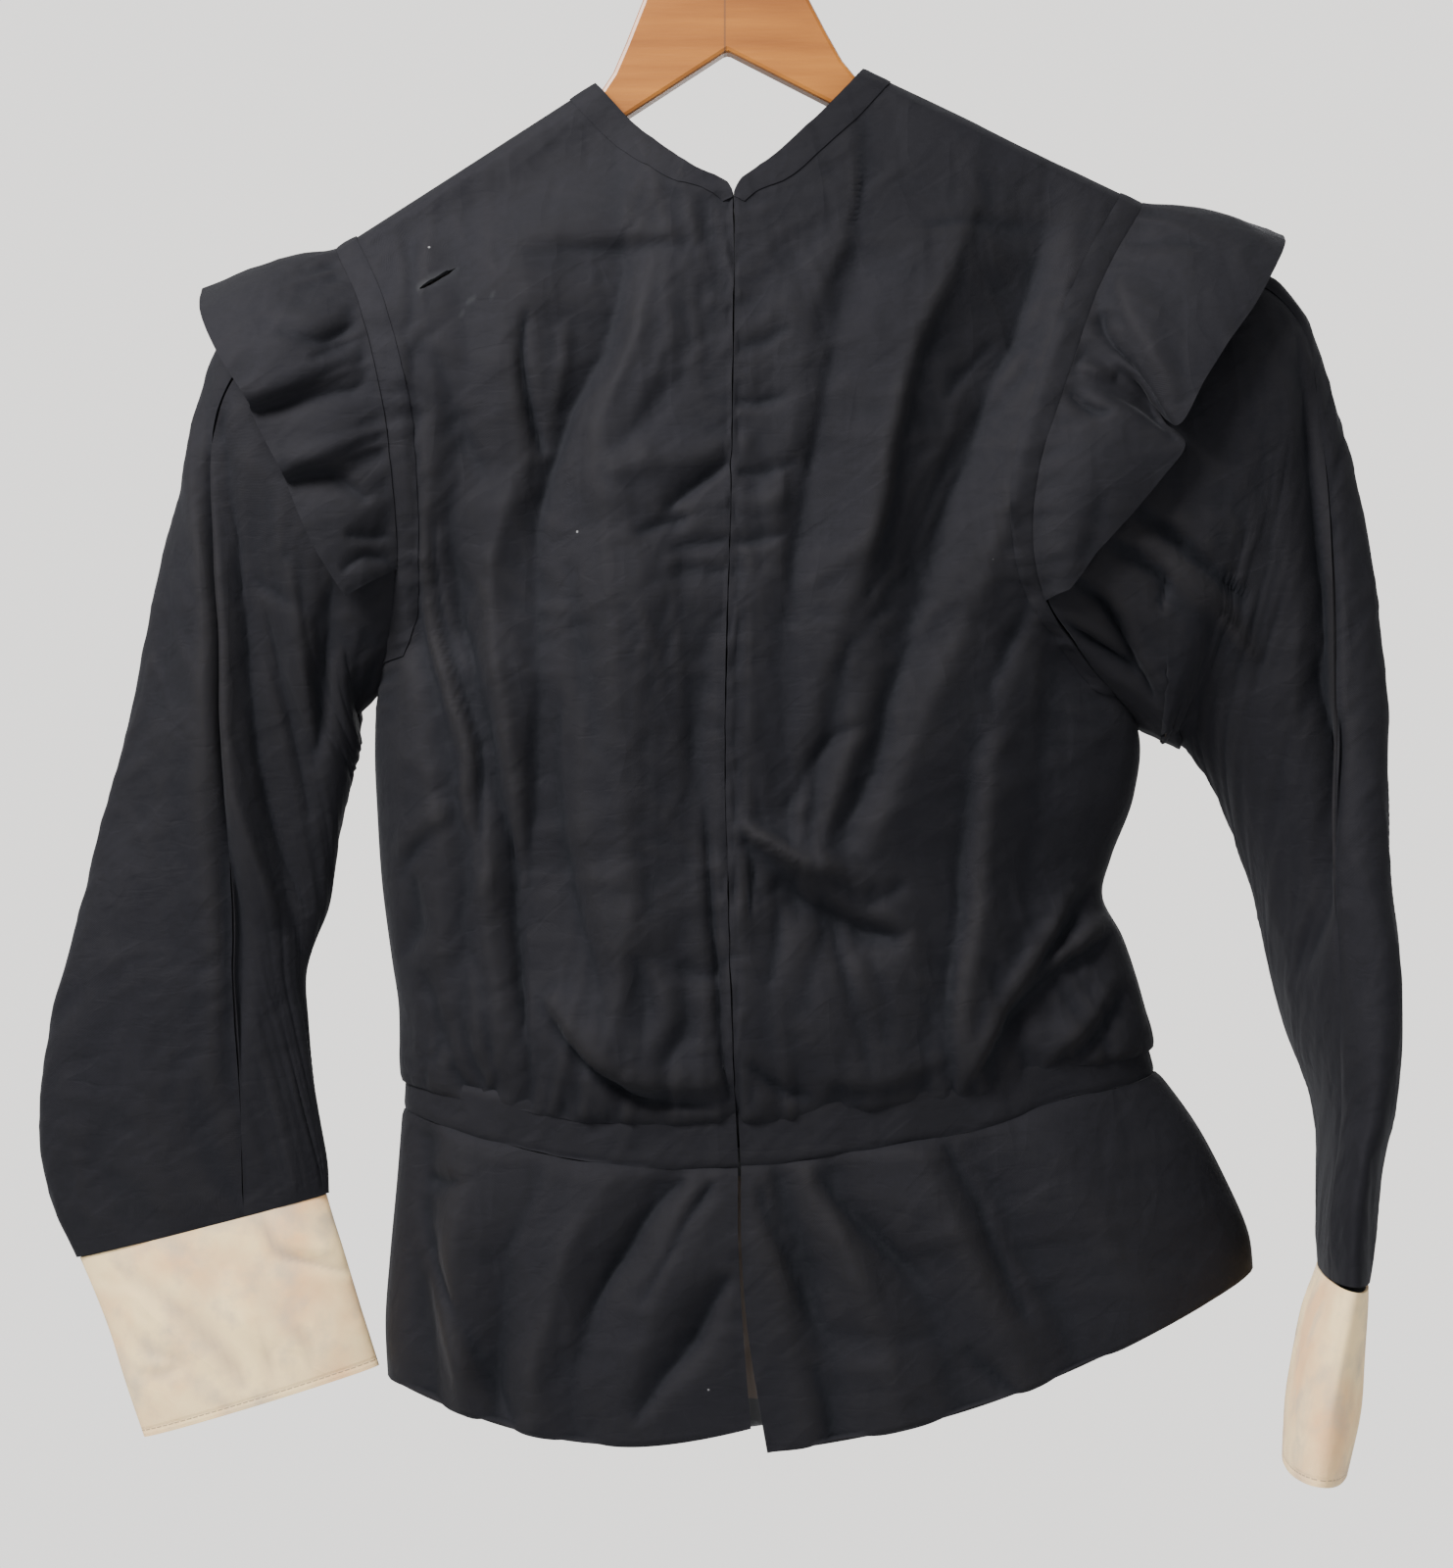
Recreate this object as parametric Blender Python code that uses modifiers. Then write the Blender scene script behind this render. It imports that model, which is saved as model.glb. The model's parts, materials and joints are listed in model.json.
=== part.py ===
"""A woman's black cotton bodice of about 1903, hanging buttoned up on a wooden hanger.

The origin is the place inside the hanger's hook where it rests. X runs to the viewer's right, Y away from
the viewer and Z up. Sizes are in millimetres. A drop is a distance below the origin, and a depth is how far
the cloth stands from the plane of the hanger, towards the viewer on the front and away on the back.
"""

import math

import bpy
import numpy as np

MM = 0.001

# Cloth
WALL = 1.2  # thickness of a panel
TRIM_WALL = 1.0  # thickness of a band that lies on a panel
SEAM = 0.4  # gap between pieces that are sewn together
LYING = 0.5  # gap under a band that lies on a panel
BACK_SHARE = 0.85  # depth of the back compared with the front
NECK_BAND = 13.0  # width along a row
FOOT_OUT = 0.8  # extra gap under the neck band's lowest place at the back
FOOT_SHARE = 0.6  # how far the band reaches there, from the notch row towards the row below
ARMHOLE_BAND = 11.0
RIDGE_UP = 0.3  # extra rise of a band where it crosses the shoulder seam
EDGE_COLUMN = 4.0  # a narrow column along a side or a closing
FRONT_COLUMNS, BACK_COLUMNS = 12, 8

# How a section's depth falls from its inner to its outer edge: (1 - share ** DEPTH_START) ** power. The
# power goes from SIDE_ROUND at a closed side to ARMHOLE_ROUND where the outer edge stands DEEP_EDGE deep.
DEPTH_START = 2.4
SIDE_ROUND, ARMHOLE_ROUND, DEEP_EDGE = 0.55, 1.0, 20.0
SAG_LEAN = 0.3  # how much less a row sags towards its side
FOLD_MARGIN = 0.12  # share of a panel, along its edges, where folds fade out
FOLD_ENDS = 0.25  # a fold's height at its ends, as a share of its height in the middle

# Hanger
TILT = math.radians(3.0)  # the right arm hangs higher
WOOD_THICK = 12.0
WOOD_EDGE = 3.0
WIRE = 3.2
HOOK_INSIDE = 17.0  # radius inside the hook
HOOK_POINTS = 30
CREST_DROP, CREST_SIDE = 58.0, 1.9  # the hook's stem enters the crest a little to the right of where it rests
# The hook's stem and the wood are drawn level, as x and drop, and then turned by TILT about the hook.
HOOK_STEM = ((CREST_SIDE, 50.0), (1.2, 45.0), (-2.5, 40.0), (-8.5, 35.5), (-14.0, 30.0))
WOOD_HALF = (
    (12.0, 58.0), (22.0, 62.0), (28.5, 72.0), (35.0, 88.0), (43.0, 105.5), (49.0, 117.6), (55.0, 125.8),
    (80.0, 139.2), (110.0, 155.2), (140.0, 172.2), (154.0, 180.8), (161.0, 186.3), (163.0, 191.5),
    (159.0, 198.0), (150.0, 197.5), (140.0, 193.0), (44.0, 136.5),
)  # fmt: skip
WOOD_NOTCH = 111.0  # drop of the point between the arms

COLOURS = {
    "black_cotton": ((0.026, 0.027, 0.030), 0.85, 0.0),
    "cream_cotton": ((0.76, 0.67, 0.52), 0.85, 0.0),
    "wood": ((0.62, 0.35, 0.13), 0.45, 0.0),
    "steel": ((0.60, 0.60, 0.61), 0.30, 1.0),
}

# Each front is a patch with a row for each section, from the waist up to the shoulder seam. The first row
# laps over the waistband. Row UNDERARM is where the armhole starts, row NOTCH is the point of the V neck, and
# the last row is the shoulder seam, on top of the hanger's arm.
# centre or neck edge: x, drop, depth; side or armhole edge: x, drop, depth; how far the row sags
FRONT_RIGHT = (
    (11.0, 565.0, 43.8, -131.0, 551.0, 0.0, 6.0),
    (10.6, 551.0, 49.0, -131.6, 541.0, 0.0, 6.0),
    (10.0, 537.0, 50.0, -131.5, 532.0, 0.0, 5.0),
    (9.3, 513.0, 50.0, -132.0, 517.0, 0.0, 3.0),
    (8.3, 485.0, 48.0, -135.0, 497.0, 0.0, 0.0),
    (7.3, 452.0, 47.0, -139.0, 466.0, 0.0, 0.0),
    (6.5, 420.0, 48.0, -141.0, 436.0, 0.0, 0.0),
    (6.9, 383.0, 50.0, -142.0, 409.0, 0.4, 0.0),
    (7.7, 347.0, 50.0, -140.5, 384.0, 1.4, 0.0),
    (8.7, 310.0, 47.0, -134.0, 357.0, 16.0, 0.0),
    (9.3, 277.0, 44.0, -131.0, 329.0, 27.0, 0.0),
    (9.8, 244.0, 40.0, -132.0, 301.0, 33.0, 0.0),
    (10.2, 215.0, 36.0, -135.0, 272.0, 35.0, 0.0),
    (10.2, 188.0, 32.0, -140.0, 247.0, 33.0, 0.0),
    (8.6, 172.0, 29.0, -145.5, 228.0, 28.0, 0.0),
    (-9.6, 162.0, 24.0, -150.5, 215.0, 20.0, 0.0),
    (-28.5, 147.0, 14.0, -155.5, 205.0, 12.5, 0.0),
    (-45.5, 128.5, 9.5, -158.5, 199.0, 7.5, 0.0),
    (-48.0, 125.0, 0.0, -159.5, 196.5, 0.0, 0.0),
)
FRONT_LEFT = (
    (12.2, 565.0, 43.8, 190.0, 536.0, 0.0, 5.0),
    (11.6, 551.0, 49.0, 188.5, 528.0, 0.0, 5.0),
    (11.0, 537.0, 50.0, 186.0, 520.0, 0.0, 4.0),
    (10.3, 513.0, 50.0, 182.0, 506.0, 0.0, 2.0),
    (9.3, 485.0, 48.0, 176.0, 489.0, 0.0, 0.0),
    (8.3, 452.0, 47.0, 167.5, 472.0, 0.0, 0.0),
    (7.5, 420.0, 48.0, 171.5, 454.0, 0.0, 0.0),
    (7.9, 383.0, 50.0, 181.0, 428.0, 0.4, 0.0),
    (8.7, 347.0, 50.0, 182.0, 399.0, 1.4, 0.0),
    (9.7, 310.0, 47.0, 159.0, 371.0, 24.0, 0.0),
    (10.3, 277.0, 44.0, 141.0, 347.0, 36.0, 0.0),
    (10.8, 244.0, 41.0, 135.0, 320.0, 41.0, 0.0),
    (11.2, 215.0, 37.0, 138.0, 291.0, 41.0, 0.0),
    (11.2, 188.0, 32.0, 146.0, 266.0, 37.0, 0.0),
    (12.0, 172.0, 29.0, 154.0, 243.0, 31.0, 0.0),
    (27.5, 159.5, 24.0, 163.0, 219.0, 22.0, 0.0),
    (46.5, 140.5, 14.0, 174.0, 197.0, 13.0, 0.0),
    (63.0, 122.5, 9.5, 184.0, 180.0, 7.5, 0.0),
    (65.5, 119.0, 0.0, 185.5, 177.0, 0.0, 0.0),
)
UNDERARM, NOTCH = 8, 14
# The back neck is a round scoop. Its edge on the right half, from the notch row up: x, drop, depth.
BACK_NECK = (
    (10.0, 170.0, 27.0),
    (-15.0, 163.0, 24.0),
    (-33.0, 148.0, 18.0),
    (-45.5, 128.5, 12.0),
    (-48.0, 125.0, 0.0),
)

# Waistband and peplum sections have the same columns, from the lower edge up.
WAISTBAND_RIGHT = (
    (12.4, 582.6, 41.6, -129.6, 562.8, 0.0, 8.0),
    (11.8, 571.0, 41.6, -129.0, 554.0, 0.0, 8.0),
    (11.2, 557.0, 41.6, -128.6, 546.0, 0.0, 6.0),
)
WAISTBAND_LEFT = (
    (13.4, 582.0, 41.6, 190.0, 546.4, 0.0, 5.0),
    (12.8, 571.0, 41.6, 188.0, 539.5, 0.0, 5.0),
    (12.2, 557.0, 41.6, 186.0, 532.0, 0.0, 4.0),
)
PEPLUM_RIGHT = (
    (17.6, 690.5, 50.0, -136.5, 677.0, 0.0, 15.0),
    (15.6, 667.0, 50.0, -137.5, 653.0, 0.0, 13.0),
    (13.6, 639.0, 48.0, -135.5, 625.0, 0.0, 10.0),
    (12.2, 611.0, 46.0, -132.6, 594.0, 0.0, 9.0),
    (12.2, 583.4, 41.6, -130.2, 563.6, 0.0, 8.0),
)
PEPLUM_LEFT = (
    (24.3, 700.0, 52.0, 232.0, 631.0, 0.0, 13.0),
    (20.0, 675.0, 51.0, 230.0, 616.0, 0.0, 11.0),
    (15.8, 645.0, 49.0, 222.0, 597.0, 0.0, 9.0),
    (13.6, 613.0, 47.0, 208.5, 571.5, 0.0, 7.0),
    (13.6, 582.8, 41.6, 191.0, 547.2, 0.0, 5.0),
)

# A sleeve is a tube through rings, from the armhole to the wrist. The first ring is the armhole itself.
# outer edge: x, drop, depth; inner edge: x, drop, depth; half thickness
SLEEVE_RIGHT = (
    (-177.0, 210.0, 0.0, -146.0, 390.0, 0.0, 28.0),
    (-195.0, 221.0, 0.0, -148.0, 394.0, 0.0, 27.0),
    (-211.0, 240.0, 0.0, -149.0, 400.0, 0.0, 26.0),
    (-219.0, 266.0, 0.0, -150.0, 406.0, 0.0, 24.0),
    (-224.0, 298.0, 0.0, -152.0, 414.0, 0.0, 22.0),
    (-232.0, 331.0, 0.0, -154.0, 423.0, 0.0, 21.0),
    (-240.0, 367.0, 0.0, -158.0, 439.0, 0.0, 19.0),
    (-248.0, 402.0, 0.0, -161.0, 458.0, 0.0, 18.0),
    (-258.0, 437.0, 0.0, -164.0, 478.0, 0.0, 17.0),
    (-267.0, 471.0, 0.0, -169.0, 492.0, 0.0, 16.0),
    (-275.0, 504.0, 0.0, -173.0, 506.0, 0.0, 16.0),
    (-282.0, 536.0, 0.0, -172.0, 526.0, 0.0, 15.0),
    (-285.0, 564.0, 0.0, -170.0, 548.0, 0.0, 14.0),
    (-284.0, 588.0, 0.0, -167.0, 570.0, 0.0, 13.0),
    (-279.0, 608.0, 0.0, -164.5, 587.0, 0.0, 12.0),
    (-270.0, 626.0, 0.0, -164.0, 599.0, 0.0, 11.0),
)
# The left sleeve turns on its way down, until its outer edge faces the viewer at the wrist.
SLEEVE_LEFT = (
    (202.0, 199.0, 0.0, 188.0, 404.0, 0.0, 29.0),
    (221.0, 203.0, 0.0, 190.0, 404.0, 0.0, 28.0),
    (242.0, 211.5, 1.0, 192.0, 404.0, 0.0, 28.0),
    (256.0, 228.0, 2.0, 194.0, 404.0, -1.0, 26.0),
    (264.0, 256.0, 4.0, 197.0, 404.0, -3.0, 24.0),
    (273.0, 289.0, 8.0, 199.0, 402.0, -6.0, 23.0),
    (279.0, 323.0, 13.0, 205.0, 406.0, -10.0, 21.0),
    (282.0, 359.0, 19.0, 213.0, 415.0, -15.0, 20.0),
    (283.0, 396.0, 26.0, 222.0, 428.0, -20.0, 18.5),
    (281.0, 432.0, 33.0, 233.0, 449.0, -25.0, 17.0),
    (280.0, 468.0, 40.0, 244.0, 474.0, -29.0, 16.5),
    (281.5, 499.0, 46.0, 252.0, 502.0, -33.0, 16.5),
    (280.0, 529.0, 51.0, 263.0, 532.0, -36.0, 16.0),
    (276.0, 558.0, 54.0, 273.0, 556.0, -38.0, 13.0),
    (270.0, 582.0, 56.0, 277.0, 580.0, -40.0, 10.5),
    (267.0, 606.0, 57.0, 277.0, 607.0, -41.0, 10.0),
    (266.0, 631.0, 57.0, 275.0, 631.0, -41.0, 9.0),
)
FROM_ARMHOLE = (1.0, 0.45, 0.2, 0.05)  # how far the first rings still keep the armhole's shape
SLEEVE_CLEAR, UNDERARM_CLEAR = 1.2, 3.4  # from the armhole's edge to the sleeve, at shoulder and underarm
ELBOW_SEAM, INNER_SEAM = 52.0, 205.0  # degrees round a ring, from its outer edge by way of the front
SEAM_DEGREES = 1.1  # half the gap at a sleeve's seam
UPPER_COLUMNS, UNDER_COLUMNS = 10, 11
CUFF_ROWS, CUFF_COLUMNS = 5, 20
CUFF_RIGHT = (
    (-268.5, 626.1, 0.0, -164.9, 599.7, 0.0, 10.6),
    (-257.0, 654.0, 0.0, -157.0, 625.0, 0.0, 12.0),
    (-249.0, 679.0, 0.0, -150.0, 649.0, 0.0, 12.0),
    (-241.0, 703.0, 0.0, -142.5, 673.0, 0.0, 10.0),
)
CUFF_LEFT = (
    (265.7, 633.1, 56.6, 274.6, 633.1, -40.6, 8.8),
    (260.0, 659.0, 58.0, 270.0, 659.0, -41.0, 13.0),
    (255.0, 687.0, 58.0, 268.0, 688.0, -41.0, 14.5),
    (251.0, 713.0, 58.0, 265.0, 713.0, -40.0, 12.5),
)

# A ruffle is a ribbon along the armhole. Its rows run from the top of the shoulder down the front.
# place along the front armhole, 0 at the shoulder and 1 at the underarm; free edge: x, drop, depth; how far
# the middle stands out
RUFFLE_RIGHT = (
    (0.00, -217.0, 212.0, 0.0, 3.0),
    (0.05, -216.0, 219.0, 14.0, 4.0),
    (0.10, -213.0, 228.0, 27.0, 5.0),
    (0.16, -207.0, 240.0, 38.0, 5.0),
    (0.22, -199.0, 253.0, 46.0, 5.0),
    (0.28, -191.0, 265.0, 49.0, 4.0),
    (0.32, -190.0, 270.0, 38.0, 2.0),
    (0.39, -185.0, 280.0, 40.0, 4.0),
    (0.46, -178.0, 293.0, 45.0, 4.0),
    (0.51, -176.0, 299.0, 35.0, 2.0),
    (0.58, -171.0, 311.0, 38.0, 3.0),
    (0.64, -165.0, 324.0, 39.0, 3.0),
    (0.69, -158.0, 336.0, 38.0, 3.0),
    (0.73, -152.0, 345.0, 36.0, 2.0),
)
RUFFLE_LEFT = (
    (0.00, 246.0, 189.0, 0.0, 3.0),
    (0.04, 244.0, 196.0, 16.0, 4.0),
    (0.08, 237.0, 209.0, 30.0, 5.0),
    (0.13, 228.0, 224.0, 41.0, 5.0),
    (0.18, 217.0, 239.0, 49.0, 5.0),
    (0.22, 206.0, 256.0, 54.0, 5.0),
    (0.26, 195.0, 275.0, 56.0, 5.0),
    (0.30, 187.0, 266.0, 44.0, 1.0),
    (0.34, 191.0, 273.0, 43.0, 1.0),
    (0.38, 198.0, 283.0, 49.0, 4.0),
    (0.46, 189.0, 296.0, 51.0, 5.0),
    (0.55, 178.0, 309.0, 50.0, 5.0),
    (0.65, 162.0, 327.0, 50.0, 4.0),
    (0.72, 150.0, 343.0, 47.0, 2.0),
)
RUFFLE_COLUMNS = 4
RUFFLE_OUT, RUFFLE_UP = 2.25, 3.0  # how far outside and above the armhole's edge a ruffle starts
RUFFLE_LEAN = 0.4  # how much its bow leans forward and up

# Main folds of the front: path of x and drop, half width, and rise of a ridge or fall of a hollow.
FRONT_FOLDS = (
    ("right yoke ridge", ((-79, 190), (-44, 189), (-9, 190)), 6, 2),
    ("right bust hollow", ((-70, 219), (-66, 255), (-68, 288)), 9, -6),
    ("right neck hollow", ((-47, 238), (-54, 270), (-62, 292)), 9, -4),
    ("right armside hollow", ((-116, 238), (-107, 272), (-94, 291)), 10, -3),
    ("right side hollow outside", ((-121, 291), (-114, 343), (-103, 408), (-101, 470)), 7, -6),
    ("right side ridge", ((-117, 310), (-108, 355), (-92, 444)), 5, 5),
    ("right side hollow inside", ((-110, 316), (-100, 365), (-86, 435), (-79, 545)), 7, -6),
    ("right middle hollow", ((-73, 330), (-69, 381), (-80, 435)), 13, -4),
    ("right waist hollow", ((-60, 379), (-61, 450), (-45, 525)), 8, -4),
    ("right centre ridge", ((-40, 296), (-22, 289), (-3, 284)), 7, 3),
    ("right blouse ridge", ((-63, 528), (-42, 545), (-9, 550)), 8, 4),
    ("left first hollow", ((57, 179), (43, 240), (28, 323)), 9, -6),
    ("left second ridge", ((100, 190), (82, 257), (53, 348)), 7, 5),
    ("left second hollow", ((112, 190), (94, 262), (64, 355)), 11, -8),
    ("left third hollow", ((138, 205), (117, 267), (88, 350)), 9, -5),
    ("left tuck ridge", ((16, 443), (27, 449), (38, 457)), 7, 5),
    ("left tuck hollow", ((30, 464), (52, 477), (76, 489)), 9, -6),
    ("left waist hollow", ((109, 454), (101, 495), (93, 525)), 9, -5),
    ("left side ridge", ((150, 470), (126, 508), (107, 545)), 8, 5),
)
PEPLUM_FOLDS = (
    ("right side ridge", ((-113, 600), (-103, 627), (-90, 650)), 7, 4),
    ("right side hollow", ((-112, 634), (-98, 660), (-80, 682)), 8, -4),
    ("right centre hollow", ((-14, 597), (-33, 622), (-50, 645)), 8, -3),
    ("right slit hollow", ((2, 632), (-8, 658), (-26, 681)), 9, -4),
    ("left centre hollow", ((25, 598), (38, 630), (48, 650)), 8, -4),
    ("left middle hollow", ((47, 592), (66, 611), (90, 632)), 9, -4),
    ("left side ridge", ((100, 580), (121, 618), (132, 642)), 9, 3),
)
BACK_FOLDS = (
    ("right shoulder hollow", ((-80, 215), (-66, 290), (-60, 350)), 10, -5),
    ("right waist hollow", ((-84, 380), (-66, 450), (-55, 525)), 10, -5),
    ("right side ridge", ((-112, 330), (-98, 420), (-88, 500)), 9, 4),
    ("centre hollow", ((6, 300), (10, 400), (14, 510)), 12, -4),
    ("left waist hollow", ((118, 372), (94, 450), (76, 530)), 10, -5),
    ("left shoulder hollow", ((118, 215), (92, 290), (76, 360)), 10, -5),
    ("left side ridge", ((150, 400), (132, 460), (118, 520)), 9, 4),
)
BACK_PEPLUM_FOLDS = (
    ("right ridge", ((-80, 590), (-84, 630), (-92, 668)), 11, 4),
    ("centre hollow", ((12, 596), (12, 640), (14, 682)), 12, -4),
    ("left ridge", ((104, 582), (122, 620), (136, 655)), 11, 4),
)
FOLD_SEEN = 1.6  # how soon a sleeve's folds fade out where it turns away from the front
SLEEVE_FOLDS = (
    ("right elbow hollow", ((-212, 266), (-206, 324), (-197, 424), (-178, 478)), 8, -5),
    ("right forearm ridge", ((-214, 400), (-210, 482), (-207, 560)), 8, 3),
    ("right underarm hollow", ((-163, 345), (-168, 385), (-172, 430)), 7, -4),
    ("left elbow hollow", ((247, 255), (254, 326), (257, 408), (254, 470)), 8, -5),
    ("left underarm hollow", ((183, 307), (204, 324), (227, 342)), 6, -4),
    ("left underarm ridge", ((172, 322), (192, 338), (206, 356)), 6, 3),
)


def material(name):
    colour, roughness, metallic = COLOURS[name]
    made = bpy.data.materials.new(name)
    made.use_nodes = True
    shader = made.node_tree.nodes["Principled BSDF"]
    shader.inputs["Base Color"].default_value = (*colour, 1.0)
    shader.inputs["Roughness"].default_value = roughness
    shader.inputs["Metallic"].default_value = metallic
    made.diffuse_color = (*colour, 1.0)
    return made


def through(rows, places):
    """Points on a smooth curve through the rows, at places counted in rows."""
    rows, places = np.asarray(rows, float), np.asarray(places, float)
    start = np.clip(np.floor(places).astype(int), 0, len(rows) - 2)
    t = (places - start)[:, None]
    a, b = rows[np.maximum(start - 1, 0)], rows[start]
    c, d = rows[start + 1], rows[np.minimum(start + 2, len(rows) - 1)]
    return b + 0.5 * t * (c - a + t * (2 * a - 5 * b + 4 * c - d + t * (3 * (b - c) + d - a)))


def along(line, shares):
    """Points on a line at shares of its length."""
    steps = np.linalg.norm(np.diff(line, axis=0), axis=1)
    length = np.concatenate([[0.0], np.cumsum(steps)])
    wanted = np.asarray(shares) * length[-1]
    return np.stack([np.interp(wanted, length, line[:, k]) for k in range(3)], axis=1)


def unit(vectors):
    return vectors / np.maximum(np.linalg.norm(vectors, axis=-1, keepdims=True), 1e-9)


def normals(grid, outward):
    """Unit normals of a grid of points, turned so that most of them agree with the outward vectors."""
    found = unit(np.cross(np.gradient(grid, axis=0), np.gradient(grid, axis=1)))
    return found if (found * outward).sum() > 0 else -found


def moved_out(grid, side, distance):
    return grid + normals(grid, (0, side, 0)) * distance


def fold_height(points, folds):
    """How far the folds raise the cloth at each point."""
    flat = np.stack([points[..., 0], -points[..., 2]], axis=-1)
    height = np.zeros(flat.shape[:-1])
    for _, path, width, rise in folds:
        line = through(path, np.linspace(0, len(path) - 1, 13))
        away = np.full(height.shape, np.inf)
        share = np.zeros(height.shape)
        for k, (start, end) in enumerate(zip(line[:-1], line[1:])):
            step = end - start
            t = np.clip(((flat - start) @ step) / (step @ step), 0, 1)
            distance = np.linalg.norm(flat - start - t[..., None] * step, axis=-1)
            share = np.where(distance < away, (k + t) / (len(line) - 1), share)
            away = np.minimum(away, distance)
        middle = FOLD_ENDS + (1 - FOLD_ENDS) * np.sin(math.pi * share)
        height += rise * np.exp(-((away / width) ** 2)) * middle
    return height


def panel(sections, places, columns, side, folds, first_column=None):
    """Grid of points of a front or a back half. side is -1 for the front and 1 for the back."""
    grid = []
    share = 1.0 if side < 0 else BACK_SHARE
    for place, section in zip(places, through(sections, places)):
        inner, outer, sag = section[:3], section[3:6], section[6]
        width = math.hypot(*(outer - inner)[:2])
        first = first_column(place) if first_column else EDGE_COLUMN
        even = np.linspace(first, width - ARMHOLE_BAND, columns + 1)
        t = np.array([0.0, *even, width - EDGE_COLUMN, width]) / width
        flat = inner[:2] + t[:, None] * (outer - inner)[:2]
        drop = flat[:, 1] + sag * np.sin(math.pi * t) * (1 - SAG_LEAN * t)
        power = SIDE_ROUND + (ARMHOLE_ROUND - SIDE_ROUND) * min(1.0, outer[2] / DEEP_EDGE)
        depth = outer[2] + (inner[2] - outer[2]) * np.clip(1 - t**DEPTH_START, 0, 1) ** power
        grid.append(np.stack([flat[:, 0], side * (depth * share + SEAM / 2), -drop], axis=1))
    grid = np.array(grid)
    rows, count = grid.shape[:2]
    u, v = np.meshgrid(np.linspace(0, 1, count), np.linspace(0, 1, rows))
    fade = np.clip((1 - u) / FOLD_MARGIN, 0, 1) * np.clip(np.minimum(v, 1 - v) / FOLD_MARGIN, 0, 1)
    height = fold_height(grid, folds) * fade
    return grid + normals(grid, (0, side, 0)) * height[..., None]


def back_sections(right, left, neck=None):
    """Both halves of a back piece, from the fronts' sections, with one centre line."""
    right, left = (np.array(half, float) for half in (right, left))
    right[:, :3] = left[:, :3] = (right[:, :3] + left[:, :3]) / 2
    if neck:
        mirror = FRONT_RIGHT[-1][0] + FRONT_LEFT[-1][0]
        right[NOTCH:, :3] = left[NOTCH:, :3] = neck
        left[NOTCH + 1 :, 0] = mirror - right[NOTCH + 1 :, 0]
        left[NOTCH + 1 :, 1] -= math.tan(TILT) * (left - right)[NOTCH + 1 :, 0]
    return right, left


def back_halves(sections, places, folds, shared_rows, first_column=None):
    """Grids of a back's right and left half, which meet in the first shared_rows rows."""
    halves = [panel(half, places, BACK_COLUMNS, 1, folds, first_column) for half in sections]
    middle = (halves[0][:shared_rows, 0] + halves[1][:shared_rows, 0]) / 2
    for half in halves:
        half[:shared_rows, 0] = middle
    return halves


def neck_column(place):
    """Width of the first column: the neck band, which tapers into the closing below the notch."""
    share = min(1.0, max(0.0, place - NOTCH + 0.5))
    return EDGE_COLUMN + (NECK_BAND - EDGE_COLUMN) * share


def loft_faces(numbers, around=False):
    """A face for each cell of a grid of point numbers."""
    after = np.roll(numbers, -1, axis=1)
    cells = np.stack([numbers[:-1], after[:-1], after[1:], numbers[1:]], axis=-1)
    cells = cells if around else cells[:, :-1]
    return cells.reshape(-1, 4).tolist()


def cloth(name, points, faces, outward, look, thickness, collection):
    """A cloth piece: the surface next to the hollow, with its thickness added outwards."""
    corners = np.array(faces)
    first, second, third = (points[corners[:, k]] for k in range(3))
    directions = np.broadcast_to(outward, points.shape)[corners[:, 0]]
    if (np.cross(second - first, third - first) * directions).sum() < 0:
        faces = [face[::-1] for face in faces]
    mesh = bpy.data.meshes.new(name)
    mesh.from_pydata((points * MM).tolist(), [], faces)
    mesh.materials.append(look)
    mesh.shade_smooth()
    piece = bpy.data.objects.new(name, mesh)
    collection.objects.link(piece)
    wall = piece.modifiers.new("wall", "SOLIDIFY")
    wall.thickness = thickness * MM
    wall.offset = 1.0
    return piece


def sheet(name, grid, outward, look, collection, thickness=WALL, around=False):
    """A cloth piece from a grid of points. outward is one direction, or one for each point."""
    points = grid.reshape(-1, 3)
    faces = loft_faces(np.arange(len(points)).reshape(grid.shape[:2]), around)
    outward = np.broadcast_to(outward, grid.shape).reshape(-1, 3)
    return cloth(name, points, faces, outward, look, thickness, collection)


def joined_halves(name, right, left, shared_rows, look, collection):
    """A back piece: two halves that share their centre points in the first shared_rows rows."""
    points = np.concatenate([right.reshape(-1, 3), left.reshape(-1, 3)])
    numbers = np.arange(len(points)).reshape(2, *right.shape[:2])
    numbers[1, :shared_rows, 0] = numbers[0, :shared_rows, 0]
    faces = [face[::-1] for face in loft_faces(numbers[0])] + loft_faces(numbers[1])
    used, renumbered = np.unique(faces, return_inverse=True)
    faces = renumbered.reshape(-1, 4).tolist()
    return cloth(name, points[used], faces, (0, 1, 0), look, WALL, collection)


def over_shoulder(front, back):
    """A band's points, from a front strip and a back strip that meet on the shoulder seam."""
    ridge = (front[-1] + back[-1]) / 2
    ridge[:, 2] = np.maximum(front[-1], back[-1])[:, 2] + RIDGE_UP
    return np.concatenate([front[:-1], ridge[None], back[-2::-1]])


def band(name, grid, look, collection):
    """A band that lies on a front and a back and rises over the shoulder."""
    outward = grid * (0, 1, 0) + (0, 0, DEEP_EDGE)
    return sheet(name, grid, outward, look, collection, TRIM_WALL)


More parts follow.
